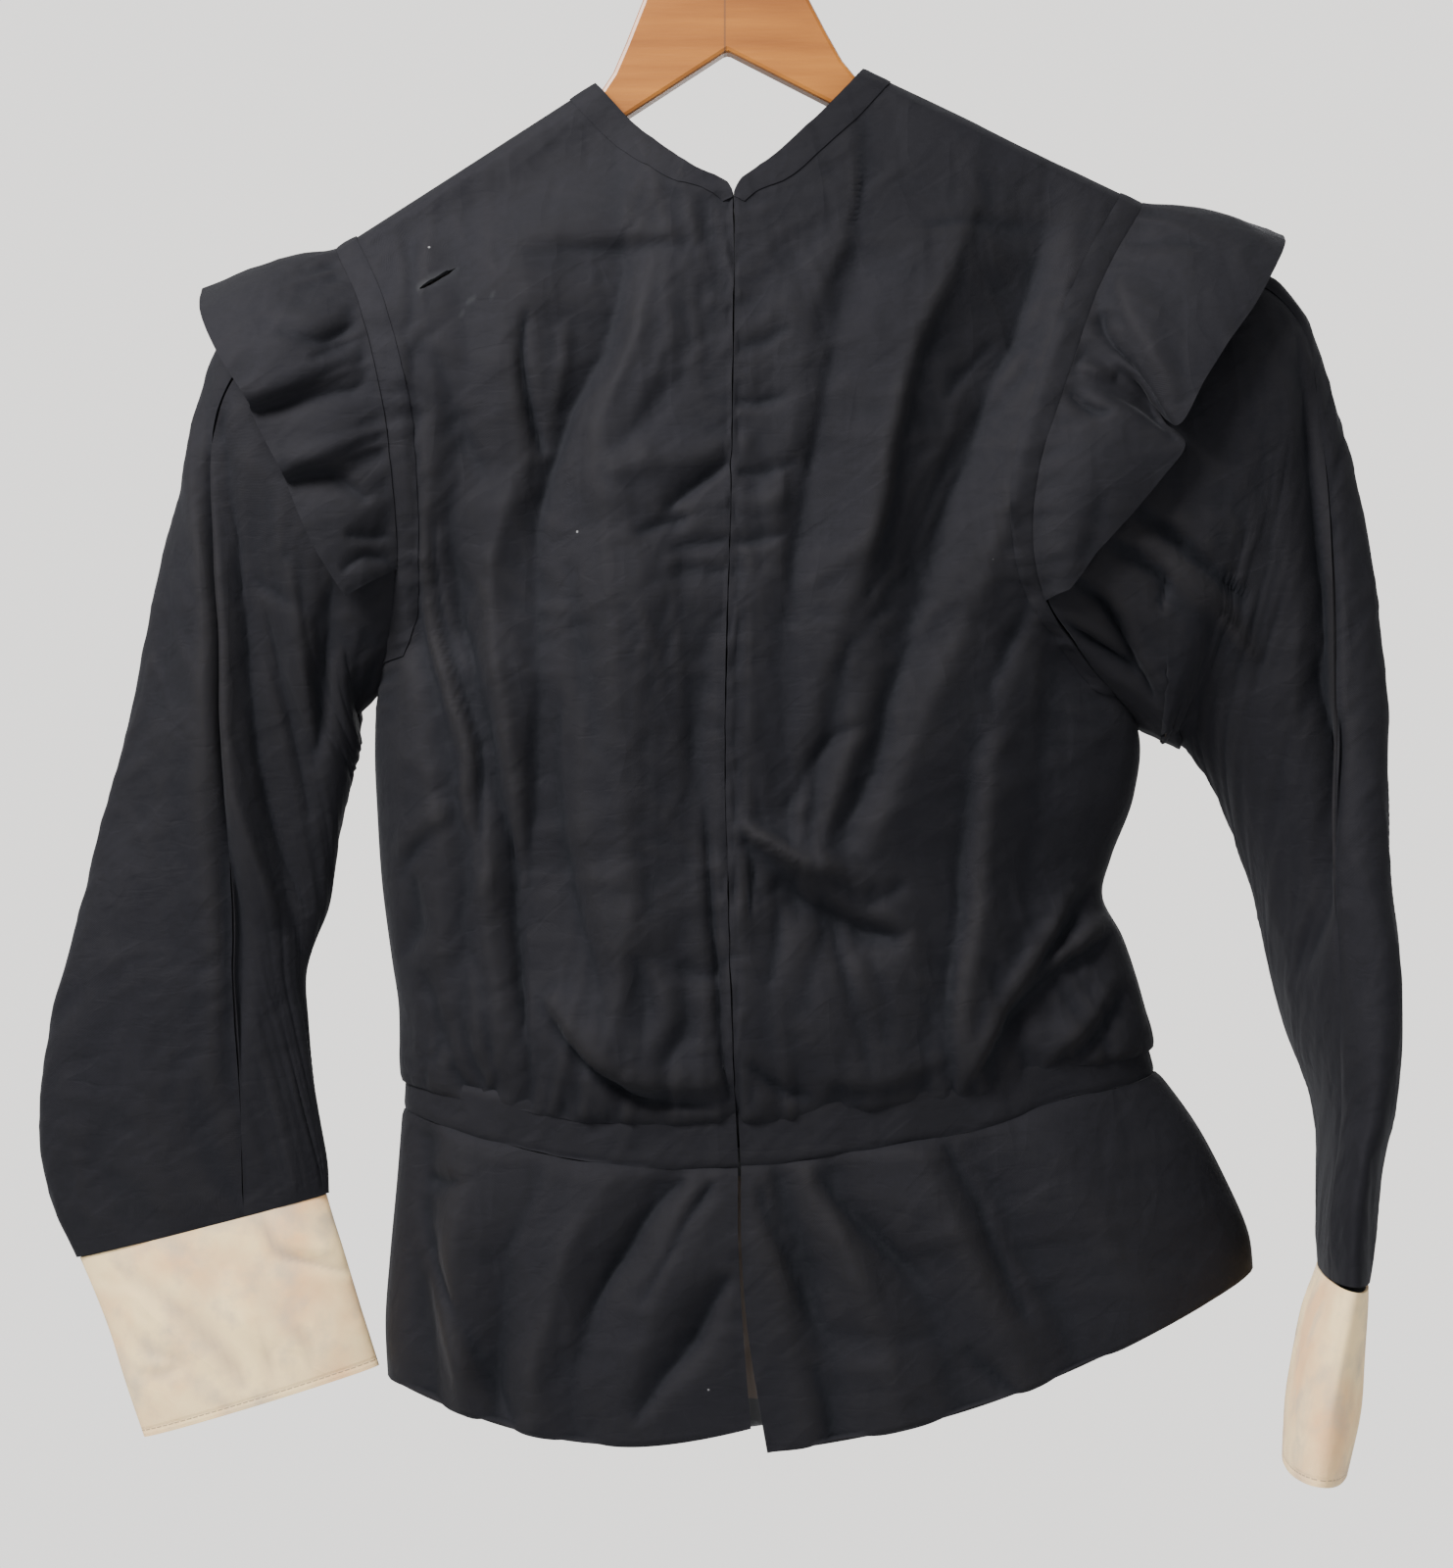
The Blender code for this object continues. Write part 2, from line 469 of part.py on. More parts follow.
def neck_band(fronts, backs, first_row, look, collection):
    """The neck binding: from the notch over both shoulders, and round the scoop of the back."""
    out = WALL + LYING
    strips = []
    for front, back in zip(fronts, backs):
        outer_front, outer_back = moved_out(front, -1, out), moved_out(back, 1, out)
        strips.append(over_shoulder(outer_front[first_row:, :2], outer_back[NOTCH:, :2]))
        top, below = outer_back[NOTCH, 0], outer_back[NOTCH - 1, 0]
        strips[-1][-1] = top, top + (below - top) * FOOT_SHARE
    foot = (strips[0][-1] + strips[1][-1]) / 2 + (0, FOOT_OUT, 0)
    whole = np.concatenate([strips[0][:-1], foot[None], strips[1][-2::-1]])
    band("neck_band", whole, look, collection)


def ring(section, before, after, side, degrees):
    """Points round a sleeve at one section. before and after are the middles of its neighbours."""
    outer = np.array([section[0], -section[2], -section[1]])
    inner = np.array([section[3], -section[5], -section[4]])
    centre, chord = (outer + inner) / 2, (outer - inner) / 2
    front = unit(np.cross(unit(after - before), unit(chord))) * side
    angle = np.radians(degrees)[:, None]
    return centre + np.cos(angle) * chord + np.sin(angle) * front * section[6]


def tube_rings(sections, side, degrees):
    """Rings of a tube, one at each section."""
    edges = np.array(sections)
    middles = (edges[:, :3] + edges[:, 3:6])[:, (0, 2, 1)] / 2 * (1, -1, -1)
    before, after = middles[[0, *range(len(sections) - 1)]], middles[[*range(1, len(sections)), -1]]
    return np.array([ring(s, b, a, side, degrees) for s, b, a in zip(sections, before, after)])


def sleeve_rings(sections, armhole, side, degrees):
    """Rings of a sleeve: the armhole's edge, the next few still taking its shape, and the rest of the arm."""
    front, back = armhole
    on_front = along(front, np.clip(degrees / 180.0, 0, 1))
    on_back = along(back, np.clip((360.0 - degrees) / 180.0, 0, 1))
    edge = np.where((degrees <= 180.0)[:, None], on_front, on_back)
    under = (1 - np.cos(np.radians(degrees))) / 2
    edge[:, 0] += side * (SLEEVE_CLEAR + (UNDERARM_CLEAR - SLEEVE_CLEAR) * under)
    rings = np.concatenate([edge[None], tube_rings(sections, side, degrees)])
    for k, share in enumerate(FROM_ARMHOLE[1:], start=1):
        shift = rings[k].mean(axis=0) - edge.mean(axis=0)
        rings[k] = share * (edge + shift) + (1 - share) * rings[k]
    return rings


def sleeve(name, sections, armhole, side, look, collection):
    """Upper sleeve and undersleeve, apart by a seam along the elbow and one inside the arm."""
    middle = sleeve_rings(sections, armhole, side, np.arange(0.0, 360.0, 10.0)).mean(axis=1)[:, None]
    first, last = ELBOW_SEAM + SEAM_DEGREES, INNER_SEAM - SEAM_DEGREES
    stretches = {
        "upper": np.linspace(first, last, UPPER_COLUMNS),
        "under": np.linspace(INNER_SEAM + SEAM_DEGREES, ELBOW_SEAM - SEAM_DEGREES + 360.0, UNDER_COLUMNS),
    }
    for kind, degrees in stretches.items():
        grid = sleeve_rings(sections, armhole, side, degrees % 360.0)
        face = normals(grid, grid - middle)
        rows, columns = grid.shape[:2]
        from_top, across = np.arange(rows), np.arange(columns)
        fade = np.clip(from_top / 3, 0, 1) * np.clip(from_top[::-1] / 2, 0, 1)
        ends = np.clip(np.minimum(across, across[::-1]) / 2, 0, 1)
        seen = np.clip(-face[..., 1] * FOLD_SEEN, 0, 1)
        height = fold_height(grid, SLEEVE_FOLDS) * seen * fade[:, None] * ends
        grid = grid + face * height[..., None]
        sheet(f"sleeve_{kind}_{name}", grid, grid - middle, look, collection)


def cuff(name, sections, side, look, collection):
    places = np.linspace(0, len(sections) - 1, CUFF_ROWS)
    rings = tube_rings(through(sections, places), side, np.arange(CUFF_COLUMNS) * 360.0 / CUFF_COLUMNS)
    sheet(name, rings, rings - rings.mean(axis=1)[:, None], look, collection, around=True)


def ruffle_half(rows, places, edge, side, facing):
    """Points of the front or back half of a ruffle, from the shoulder down. facing is -1 or 1."""
    place, x, drop, depth, bow = through(rows, places).T
    shares = np.clip(place, 0.01, 0.99)
    start = along(edge, np.clip(place, 0, 1))
    away = unit(np.cross(along(edge, shares + 0.01) - along(edge, shares - 0.01), (1.0, 0.0, 0.0)))
    away *= np.sign((away * (start - edge.mean(axis=0))).sum(axis=1))[:, None]
    start = start + (side * RUFFLE_OUT, 0, 0) + away * RUFFLE_UP
    free = np.stack([x, facing * depth, -drop], axis=1)
    lift = unit(away + (0, facing * RUFFLE_LEAN, RUFFLE_LEAN)) * bow[:, None]
    w = np.linspace(0, 1, RUFFLE_COLUMNS + 1)[None, :, None]
    return start[:, None] * (1 - w) + free[:, None] * w + lift[:, None] * np.sin(math.pi * w)


def ruffle(name, rows, armhole, side, look, collection):
    """A ribbon from the front of the armhole over the shoulder to its back, with finer waves in front."""
    front = ruffle_half(rows, np.arange(0, len(rows) - 0.5, 0.5), armhole[0], side, -1)
    back = ruffle_half(rows, np.arange(len(rows)), armhole[1], side, 1)
    grid = np.concatenate([front[:0:-1], (front[:1] + back[:1]) / 2, back[1:]])
    middle = (armhole[0].mean(axis=0) + armhole[1].mean(axis=0)) / 2
    sheet(name, grid, grid - middle, look, collection)


def hanger_wood(look, collection):
    """Two arms cut from one board, with a pointed crest: a flat outline with rounded edges."""
    outline = [*WOOD_HALF, (0.0, WOOD_NOTCH), *((-x, drop) for x, drop in reversed(WOOD_HALF))]
    curve = bpy.data.curves.new("hanger_wood", "CURVE")
    curve.dimensions = "2D"
    curve.fill_mode = "BOTH"
    curve.extrude = WOOD_THICK / 2 * MM
    spline = curve.splines.new("POLY")
    spline.points.add(len(outline) - 1)
    for point, (x, drop) in zip(spline.points, outline):
        point.co = ((x + CREST_SIDE) * MM, -drop * MM, 0.0, 1.0)
    spline.use_cyclic_u = True
    curve.materials.append(look)
    wood = bpy.data.objects.new("hanger_wood", curve)
    wood.rotation_euler = (math.radians(90.0), -TILT, 0.0)
    collection.objects.link(wood)
    weld = wood.modifiers.new("weld", "WELD")
    weld.merge_threshold = 0.00001
    rounding = wood.modifiers.new("rounding", "BEVEL")
    rounding.width = WOOD_EDGE * MM
    rounding.segments = 2
    rounding.limit_method = "ANGLE"
    rounding.angle_limit = math.radians(50.0)


def hanger_hook(look, collection):
    """A wire hook: a stem out of the crest, then round into the arc that rests on the rail."""
    radius = HOOK_INSIDE + WIRE / 2
    arc = []
    for degrees in range(205, -26, -15):
        angle = math.radians(degrees)
        arc.append((radius * math.cos(angle), HOOK_INSIDE - radius * math.sin(angle)))
    route = np.array([(CREST_SIDE, CREST_DROP - SEAM), *HOOK_STEM, *arc])
    line = through(route, np.linspace(0, len(route) - 1, HOOK_POINTS))
    curve = bpy.data.curves.new("hanger_hook", "CURVE")
    curve.dimensions = "3D"
    curve.bevel_depth = WIRE / 2 * MM
    curve.bevel_resolution = 2
    curve.use_fill_caps = True
    spline = curve.splines.new("POLY")
    spline.points.add(len(line) - 1)
    for point, (x, drop) in zip(spline.points, line):
        # The wood hangs turned about the hook, so the stem is turned with it, and the arc less and less.
        turn = TILT * min(1.0, max(0.0, drop / CREST_DROP))
        turned_x = x * math.cos(turn) + drop * math.sin(turn)
        turned_drop = drop * math.cos(turn) - x * math.sin(turn)
        point.co = (turned_x * MM, 0.0, -turned_drop * MM, 1.0)
    curve.materials.append(look)
    collection.objects.link(bpy.data.objects.new("hanger_hook", curve))


def main():
    for old in list(bpy.data.objects):
        bpy.data.objects.remove(old, do_unlink=True)
    collection = bpy.data.collections.new("bodice_on_hanger")
    bpy.context.scene.collection.children.link(collection)
    looks = {name: material(name) for name in COLOURS}
    black, cream = looks["black_cotton"], looks["cream_cotton"]

    # The long rows of a front have one more between each two, for its folds.
    rows = np.arange(len(FRONT_RIGHT), dtype=float)
    front_places = sorted([*rows, *(rows[3:15] + 0.5)])
    first_arm_row, first_neck_row = front_places.index(UNDERARM), front_places.index(NOTCH - 0.5)
    fronts = [
        panel(half, front_places, FRONT_COLUMNS, -1, FRONT_FOLDS, neck_column)
        for half in (FRONT_RIGHT, FRONT_LEFT)
    ]
    sheet("front_right", fronts[0], (0, -1, 0), black, collection)
    sheet("front_left", fronts[1], (0, -1, 0), black, collection)
    sections = back_sections(FRONT_RIGHT, FRONT_LEFT, BACK_NECK)
    backs = back_halves(sections, rows, BACK_FOLDS, NOTCH + 1, neck_column)
    joined_halves("back", *backs, NOTCH + 1, black, collection)
    neck_band(fronts, backs, first_neck_row, black, collection)

    for name, side, front, back, sleeve_rows, ruffle_rows, cuff_rows in (
        ("right", -1, fronts[0], backs[0], SLEEVE_RIGHT, RUFFLE_RIGHT, CUFF_RIGHT),
        ("left", 1, fronts[1], backs[1], SLEEVE_LEFT, RUFFLE_LEFT, CUFF_LEFT),
    ):
        outer_front, outer_back = moved_out(front, -1, WALL + LYING), moved_out(back, 1, WALL + LYING)
        strip = over_shoulder(outer_front[first_arm_row + 1 :, -3:], outer_back[UNDERARM + 1 :, -3:])
        band(f"armhole_band_{name}", strip, black, collection)
        armhole = (front[first_arm_row:, -1][::-1], back[UNDERARM:, -1][::-1])
        sleeve(name, sleeve_rows, armhole, side, black, collection)
        ruffle(f"ruffle_{name}", ruffle_rows, armhole, side, black, collection)
        cuff(f"cuff_{name}", cuff_rows, side, cream, collection)

    for piece, right, left, count, folds, back_folds in (
        ("waistband", WAISTBAND_RIGHT, WAISTBAND_LEFT, 3, (), ()),
        ("peplum", PEPLUM_RIGHT, PEPLUM_LEFT, 8, PEPLUM_FOLDS, BACK_PEPLUM_FOLDS),
    ):
        places = np.linspace(0, len(right) - 1, count)
        for name, half in (("right", right), ("left", left)):
            grid = panel(half, places, FRONT_COLUMNS, -1, folds)
            sheet(f"{piece}_{name}", grid, (0, -1, 0), black, collection)
        halves = back_halves(back_sections(right, left), places, back_folds, count)
        joined_halves(f"{piece}_back", *halves, count, black, collection)

    hanger_wood(looks["wood"], collection)
    hanger_hook(looks["steel"], collection)


main()
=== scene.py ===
# %% [markdown]
# # A black cotton bodice on a wooden hanger
#
# The real object is a woman's bodice of about 1903: black cotton that has faded where it was rubbed, fronts
# that close down the middle, ruffles over the sleeve heads, two-piece sleeves with turned cream cuffs, a
# waistband and a short peplum. It hangs closed on a wooden hanger.
#
# Each sewn piece is a thin shell on the form that its solid already has in the frame. The large form comes
# from a few measured cross-sections, and the folds are put on top of it one by one, because where a fold
# starts and how sharp it is make cloth look like cloth.

# %% The frame
import json
import math

import bpy
import numpy as np
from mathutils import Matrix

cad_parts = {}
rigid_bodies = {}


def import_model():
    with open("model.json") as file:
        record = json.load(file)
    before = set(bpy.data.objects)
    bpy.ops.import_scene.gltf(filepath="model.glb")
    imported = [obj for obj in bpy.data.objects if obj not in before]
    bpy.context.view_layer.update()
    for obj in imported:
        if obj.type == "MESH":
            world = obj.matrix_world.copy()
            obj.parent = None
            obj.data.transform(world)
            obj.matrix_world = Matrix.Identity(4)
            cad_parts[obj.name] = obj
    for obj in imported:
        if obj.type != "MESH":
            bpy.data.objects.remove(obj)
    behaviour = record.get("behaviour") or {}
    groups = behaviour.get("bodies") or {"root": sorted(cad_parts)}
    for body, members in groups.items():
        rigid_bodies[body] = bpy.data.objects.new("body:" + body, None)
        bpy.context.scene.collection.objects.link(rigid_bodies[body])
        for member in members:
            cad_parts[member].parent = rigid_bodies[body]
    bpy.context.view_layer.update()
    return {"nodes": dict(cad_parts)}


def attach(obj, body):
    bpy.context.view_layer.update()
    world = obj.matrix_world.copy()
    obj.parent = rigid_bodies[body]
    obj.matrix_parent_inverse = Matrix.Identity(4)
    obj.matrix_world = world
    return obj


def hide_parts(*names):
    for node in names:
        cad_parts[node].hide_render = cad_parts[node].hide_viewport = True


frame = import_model()
print("nodes in the frame:", sorted(frame["nodes"]))

MM = 0.001
WALL = 1.2  # thickness of a panel with its lining
TRIM_WALL = 0.4  # thickness of a band that lies on a panel
SEAM = 0.4  # gap between pieces that are sewn together
LYING = 0.05  # gap under a band that lies on a panel

# %% [markdown]
# ## Camera, light and floor
#
# The photograph was taken straight on, with soft daylight from the upper left. Black cloth shows its folds
# only where light grazes it, so one soft lamp stands high on the left, weaker ones fill the other side and
# the back, and a pale room keeps the shadows open. The camera stands 1.45 m away, and its lens is worked out
# from the height that the picture shows at the hanger.

# %% Camera
PICTURE_HEIGHT = 0.672  # what the picture shows at the hanger, in metres
CAMERA_PLACE = (0.0075, -1.45, -0.4238)
SENSOR = 36.0

camera = bpy.data.objects.new("camera", bpy.data.cameras.new("camera"))
bpy.context.scene.collection.objects.link(camera)
camera.location = CAMERA_PLACE
camera.rotation_euler = (math.radians(90.0), 0.0, 0.0)
camera.data.sensor_fit = "VERTICAL"
camera.data.sensor_height = SENSOR
camera.data.lens = SENSOR * -CAMERA_PLACE[1] / PICTURE_HEIGHT
bpy.context.scene.camera = camera
print("lens:", round(camera.data.lens, 1), "mm")

# %% Lamps
BODICE_MIDDLE = (0.0, 0.0, -0.4)


def lamp(name, place, size, power, colour):
    """A soft square lamp that shines at the middle of the bodice."""
    data = bpy.data.lights.new(name, "AREA")
    data.size, data.energy, data.color = size, power, colour
    made = bpy.data.objects.new(name, data)
    bpy.context.scene.collection.objects.link(made)
    made.location = place
    aim = np.array(BODICE_MIDDLE) - np.array(place)
    tilt = math.acos(-aim[2] / np.linalg.norm(aim))
    made.rotation_euler = (tilt, 0.0, math.atan2(aim[1], aim[0]) - math.radians(90.0))


lamp("window", (-0.78, -0.84, 0.62), 0.55, 66.0, (1.0, 0.995, 0.99))
lamp("fill", (1.7, -1.6, -0.2), 1.4, 7.0, (0.93, 0.97, 1.0))
lamp("behind", (0.6, 2.2, 0.3), 1.4, 18.0, (1.0, 1.0, 1.0))
print("lamps:", [light.name for light in bpy.data.lights])

# %% Room and floor
ROOM_COLOUR, ROOM_STRENGTH = (0.985, 0.99, 1.0, 1.0), 0.72
WALL_COLOUR, WALL_STRENGTH = (1.0, 0.98, 0.95, 1.0), 1.75  # what shows behind the bodice
FLOOR_DROP, FLOOR_RADIUS, FLOOR_CORNERS = 1.05, 1.1, 96

world = bpy.data.worlds.new("pale room")
world.use_nodes = True
tree = world.node_tree
room, wall = tree.nodes["Background"], tree.nodes.new("ShaderNodeBackground")
for light, colour, strength in (
    (room, ROOM_COLOUR, ROOM_STRENGTH),
    (wall, WALL_COLOUR, WALL_STRENGTH),
):
    light.inputs["Color"].default_value = colour
    light.inputs["Strength"].default_value = strength
either = tree.nodes.new("ShaderNodeMixShader")
tree.links.new(tree.nodes.new("ShaderNodeLightPath").outputs["Is Camera Ray"], either.inputs[0])
tree.links.new(room.outputs[0], either.inputs[1])
tree.links.new(wall.outputs[0], either.inputs[2])
tree.links.new(either.outputs[0], tree.nodes["World Output"].inputs["Surface"])
bpy.context.scene.world = world

turns = np.linspace(0.0, 2 * math.pi, FLOOR_CORNERS, endpoint=False)
rim = [(FLOOR_RADIUS * math.cos(a), FLOOR_RADIUS * math.sin(a), -FLOOR_DROP) for a in turns]
floor_mesh = bpy.data.meshes.new("floor")
floor_mesh.from_pydata(rim, [], [list(range(len(rim)))])
floor = bpy.data.objects.new("floor", floor_mesh)
bpy.context.scene.collection.objects.link(floor)
print("floor:", FLOOR_DROP, "m below the hook")

# %% [markdown]
# ## Node helpers
#
# Every finish is a tree of nodes. Two small helpers keep those trees short: one adds a node with its
# settings and inputs, and one starts a group with named inputs and outputs.


# %% Node helpers
def put(tree, kind, inputs=None, **settings):
    """A new node. inputs holds numbers, colours or the sockets of other nodes, by name or by place."""
    made = tree.nodes.new(kind)
    for name, value in settings.items():
        setattr(made, name, value)
    for key, value in (inputs or {}).items():
        socket = made.inputs[key]
        if isinstance(value, bpy.types.NodeSocket):
            tree.links.new(value, socket)
        else:
            socket.default_value = value
    return made


def maths(tree, operation, *values):
    """A Math node's output."""
    return put(tree, "ShaderNodeMath", dict(enumerate(values)), operation=operation).outputs[0]


def noise(tree, place, scale, detail, roughness=0.5):
    """The outputs of a noise texture: one value is Fac, and three at once are Color."""
    inputs = {"Vector": place, "Scale": scale, "Detail": detail, "Roughness": roughness}
    return put(tree, "ShaderNodeTexNoise", inputs).outputs


def blend_colours(tree, share, first, second):
    """The first colour where share is 0 and the second where it is 1."""
    return put(tree, "ShaderNodeMix", {0: share, 6: first, 7: second}, data_type="RGBA").outputs[2]


def ramp(tree, value, low, high):
    """0 below low, 1 above high and a straight line between."""
    inputs = {"Value": value, "From Min": low, "From Max": high}
    return put(tree, "ShaderNodeMapRange", inputs, clamp=True).outputs["Result"]


# %% Groups
def start_group(name, inputs, outputs):
    """A node group with float or vector sockets. Returns its tree, its inputs by name and its output."""
    tree = bpy.data.node_groups.new(name, "ShaderNodeTree")
    for socket, kind in inputs.items():
        tree.interface.new_socket(socket, in_out="INPUT", socket_type=f"NodeSocket{kind}")
    for socket in outputs:
        tree.interface.new_socket(socket, in_out="OUTPUT", socket_type="NodeSocketFloat")
    given = tree.nodes.new("NodeGroupInput")
    return tree, {name: given.outputs[name] for name in inputs}, tree.nodes.new("NodeGroupOutput")


def place_group(tree, group, inputs):
    """The outputs of a group, with its inputs by name."""
    return put(tree, "ShaderNodeGroup", inputs, node_tree=group).outputs

# %% [markdown]
# ## Finishes that more than one cloth shares
#
# Weave: threads crossing over and under, drawn on the cloth's own cut, so it follows each piece. Rumples:
# the small soft wrinkles of washed cotton. Fading and painted shade: cloth that is rubbed or lit loses colour
# first on the crests of its folds, and the hollows of the folds get painted shade, a deeper colour. Lint: a
# few
# pale specks. Stitches: a row of thread marks at a distance from an edge.
# Each is a group, because black cotton, cream cotton and the lining all use them with other values.

# %% Weave
weave, given, out = start_group("Weave", {"Cut": "Vector", "Threads": "Float"}, ["Height"])
size = {0: given["Cut"], "Scale": given["Threads"]}
scaled = put(weave, "ShaderNodeVectorMath", size, operation="SCALE")
split = put(weave, "ShaderNodeSeparateXYZ", {0: scaled.outputs[0]})
over = maths(weave, "SINE", maths(weave, "MULTIPLY", split.outputs["X"], 2 * math.pi))
under = maths(weave, "SINE", maths(weave, "MULTIPLY", split.outputs["Y"], 2 * math.pi))
slub = noise(weave, scaled.outputs[0], 0.35, 2.0)
crossing = maths(weave, "MULTIPLY", over, under)
weave.links.new(maths(weave, "ADD", crossing, slub["Fac"]), out.inputs["Height"])
print("weave:", len(weave.nodes), "nodes")

# %% Rumples
rumples, given, out = start_group(
    "Rumples",
    {"Place": "Vector", "Size": "Float", "Turn": "Float", "Tallness": "Float", "Sharpness": "Float"},
    ["Height"],
)
BEND = (0.012, 0.012, 0.012)  # how far, in metres, noise moves a place, so that no wrinkle is straight
turn = {"Vector": given["Place"], "Angle": given["Turn"]}
turned = put(rumples, "ShaderNodeVectorRotate", turn, rotation_type="Y_AXIS").outputs[0]
stretch = put(rumples, "ShaderNodeCombineXYZ", {0: 1.0, 1: 1.0, 2: given["Tallness"]}).outputs[0]
place = put(rumples, "ShaderNodeVectorMath", {0: turned, 1: stretch}, operation="MULTIPLY").outputs[0]
bend = noise(rumples, place, given["Size"], 1.0)
moved = {0: bend["Color"], 1: BEND, 2: place}
bent = put(rumples, "ShaderNodeVectorMath", moved, operation="MULTIPLY_ADD").outputs[0]
soft = noise(rumples, bent, given["Size"], 2.0)
fold = maths(rumples, "ABSOLUTE", maths(rumples, "SUBTRACT", soft["Fac"], 0.5))
sharp = maths(rumples, "MULTIPLY", maths(rumples, "POWER", fold, 0.8), given["Sharpness"])
rumples.links.new(maths(rumples, "SUBTRACT", soft["Fac"], sharp), out.inputs["Height"])
print("rumples bend by up to", BEND[0] * 1000, "mm")

# %% Fading and painted shade
fading_and_shade, given, out = start_group(
    "Fading and painted shade", {"Place": "Vector", "Crest": "Float", "Patch size": "Float"}, ["Faded", "Painted shade", "Mottle"]
)
MOTTLE_FINENESS = 420.0
patches = noise(fading_and_shade, given["Place"], given["Patch size"], 4.0, 0.6)
mottle = noise(fading_and_shade, given["Place"], MOTTLE_FINENESS, 3.0)
worn = maths(fading_and_shade, "ADD", given["Crest"], maths(fading_and_shade, "MULTIPLY", patches["Fac"], 1.1))
fading_and_shade.links.new(ramp(fading_and_shade, worn, 0.25, 1.35), out.inputs["Faded"])
# Painted shade: the lower the crest value, in the hollows of the folds, the deeper the colour; noise patches
# add to it.
hollow_shade = maths(fading_and_shade, "SUBTRACT", maths(fading_and_shade, "MULTIPLY", patches["Fac"], 0.7), given["Crest"])
fading_and_shade.links.new(ramp(fading_and_shade, hollow_shade, 0.30, 1.1), out.inputs["Painted shade"])
fading_and_shade.links.new(mottle["Fac"], out.inputs["Mottle"])
print("fading puts out", [socket.name for socket in out.inputs if socket.name])

# %% Lint
lint, given, out = start_group("Lint", {"Place": "Vector", "Specks": "Float", "Share": "Float"}, ["Mask"])
cells = put(lint, "ShaderNodeTexVoronoi", {"Vector": given["Place"], "Scale": given["Specks"]})
chosen = put(lint, "ShaderNodeSeparateColor", {0: cells.outputs["Color"]})
SPECK_SIZE = 0.06  # as a share of a cell
near = maths(lint, "LESS_THAN", cells.outputs["Distance"], SPECK_SIZE)
picked = maths(lint, "LESS_THAN", chosen.outputs["Red"], given["Share"])
lint.links.new(maths(lint, "MULTIPLY", near, picked), out.inputs["Mask"])
print("lint:", len(lint.nodes), "nodes")

# %% Stitches
stitches, given, out = start_group(
    "Stitches",
    {"Cut": "Vector", "From edge": "Float", "Stitch": "Float", "Thread": "Float"},
    ["Mask", "Height"],
)
split = put(stitches, "ShaderNodeSeparateXYZ", {0: given["Cut"]})
off = maths(stitches, "ABSOLUTE", maths(stitches, "SUBTRACT", split.outputs["Y"], given["From edge"]))
line = maths(stitches, "SUBTRACT", 1.0, maths(stitches, "DIVIDE", off, given["Thread"]))
row = maths(stitches, "MAXIMUM", line, 0.0)
beat = maths(stitches, "FRACT", maths(stitches, "DIVIDE", split.outputs["X"], given["Stitch"]))
STITCH_GAP, DIP_WIDTH = 0.25, 0.0015  # share of a stitch that is under the cloth; metres on either side
shown = maths(stitches, "GREATER_THAN", beat, STITCH_GAP)
thread = maths(stitches, "MULTIPLY", row, shown)
stitches.links.new(thread, out.inputs["Mask"])
slope = maths(stitches, "SUBTRACT", 1.0, maths(stitches, "DIVIDE", off, DIP_WIDTH))
dip = maths(stitches, "MAXIMUM", slope, 0.0)
stitches.links.new(maths(stitches, "SUBTRACT", thread, dip), out.inputs["Height"])
print("node groups:", [group.name for group in bpy.data.node_groups])

# %% [markdown]
# ## Black cotton
#
# A matt sateen, dyed black and gone grey. One dark colour would do from far off, but near by the cloth would
# look like paint. Real black cotton sends back very little light and keeps a soft sheen from its fibre ends,
# so the shader has a dark colour, high roughness and some sheen. The fading group makes crests browner and
# paler where the cloth has faded, and paints shade into the hollows as a cold blue black. Four sizes of
# wrinkle finer than the mesh are relief.


# %% A material and its relief
def start_material(name, roughness, sheen=0.0, metallic=0.0):
    """A new material, with its tree, its shader and places on the object."""
    made = bpy.data.materials.new(name)
    made.use_nodes = True
    tree = made.node_tree
    shader = tree.nodes["Principled BSDF"]
    shader.inputs["Roughness"].default_value = roughness
    shader.inputs["Metallic"].default_value = metallic
    shader.inputs["Sheen Weight"].default_value = sheen
    return made, tree, shader, put(tree, "ShaderNodeTexCoord").outputs["Object"]


def flat_cut(tree):
    """Places on the flat cut, in metres."""
    return put(tree, "ShaderNodeUVMap", uv_map="cut").outputs["UV"]


def kept_value(tree, name):
    """A value that the mesh keeps at each of its points."""
    return put(tree, "ShaderNodeAttribute", attribute_name=name).outputs["Fac"]


def add_relief(tree, shader, heights):
    """Chained Bump nodes, from the smallest relief to the largest: socket, depth in metres, strength."""
    normal = None
    for height, depth, strength in heights:
        inputs = {"Height": height, "Distance": depth, "Strength": strength}
        if normal is not None:
            inputs["Normal"] = normal
        normal = put(tree, "ShaderNodeBump", inputs).outputs["Normal"]
    tree.links.new(normal, shader.inputs["Normal"])


# %% Black cotton
BLACK_DYE, FADED_BLACK = (0.0043, 0.0045, 0.0059, 1.0), (0.0086, 0.0081, 0.0082, 1.0)
# The first colour on the next line is painted shade: a cold blue black for the hollows of the folds.
SHADE_BLUE_BLACK, GREY_GRAIN = (0.0025, 0.0034, 0.0045, 1.0), (0.0082, 0.0082, 0.0104, 1.0)
FRAYED_THREAD, LINT_GREY = (0.16, 0.17, 0.17, 1.0), (0.14, 0.14, 0.14, 1.0)
GRAIN_SHARE = 0.6
BLACK_THREADS = 1700.0  # to the metre
# size, turn in radians, sharpness, depth in metres
WRINKLES = (
    (150, 1.6, 0.5, 0.0008),
    (62, -0.9, 0.7, 0.0026),
    (38, 1.45, 0.5, 0.0010),
    (44, 0.1, 0.6, 0.0044),
)
WRINKLE_TALLNESS, RELIEF_STRENGTH = 0.3, 0.35

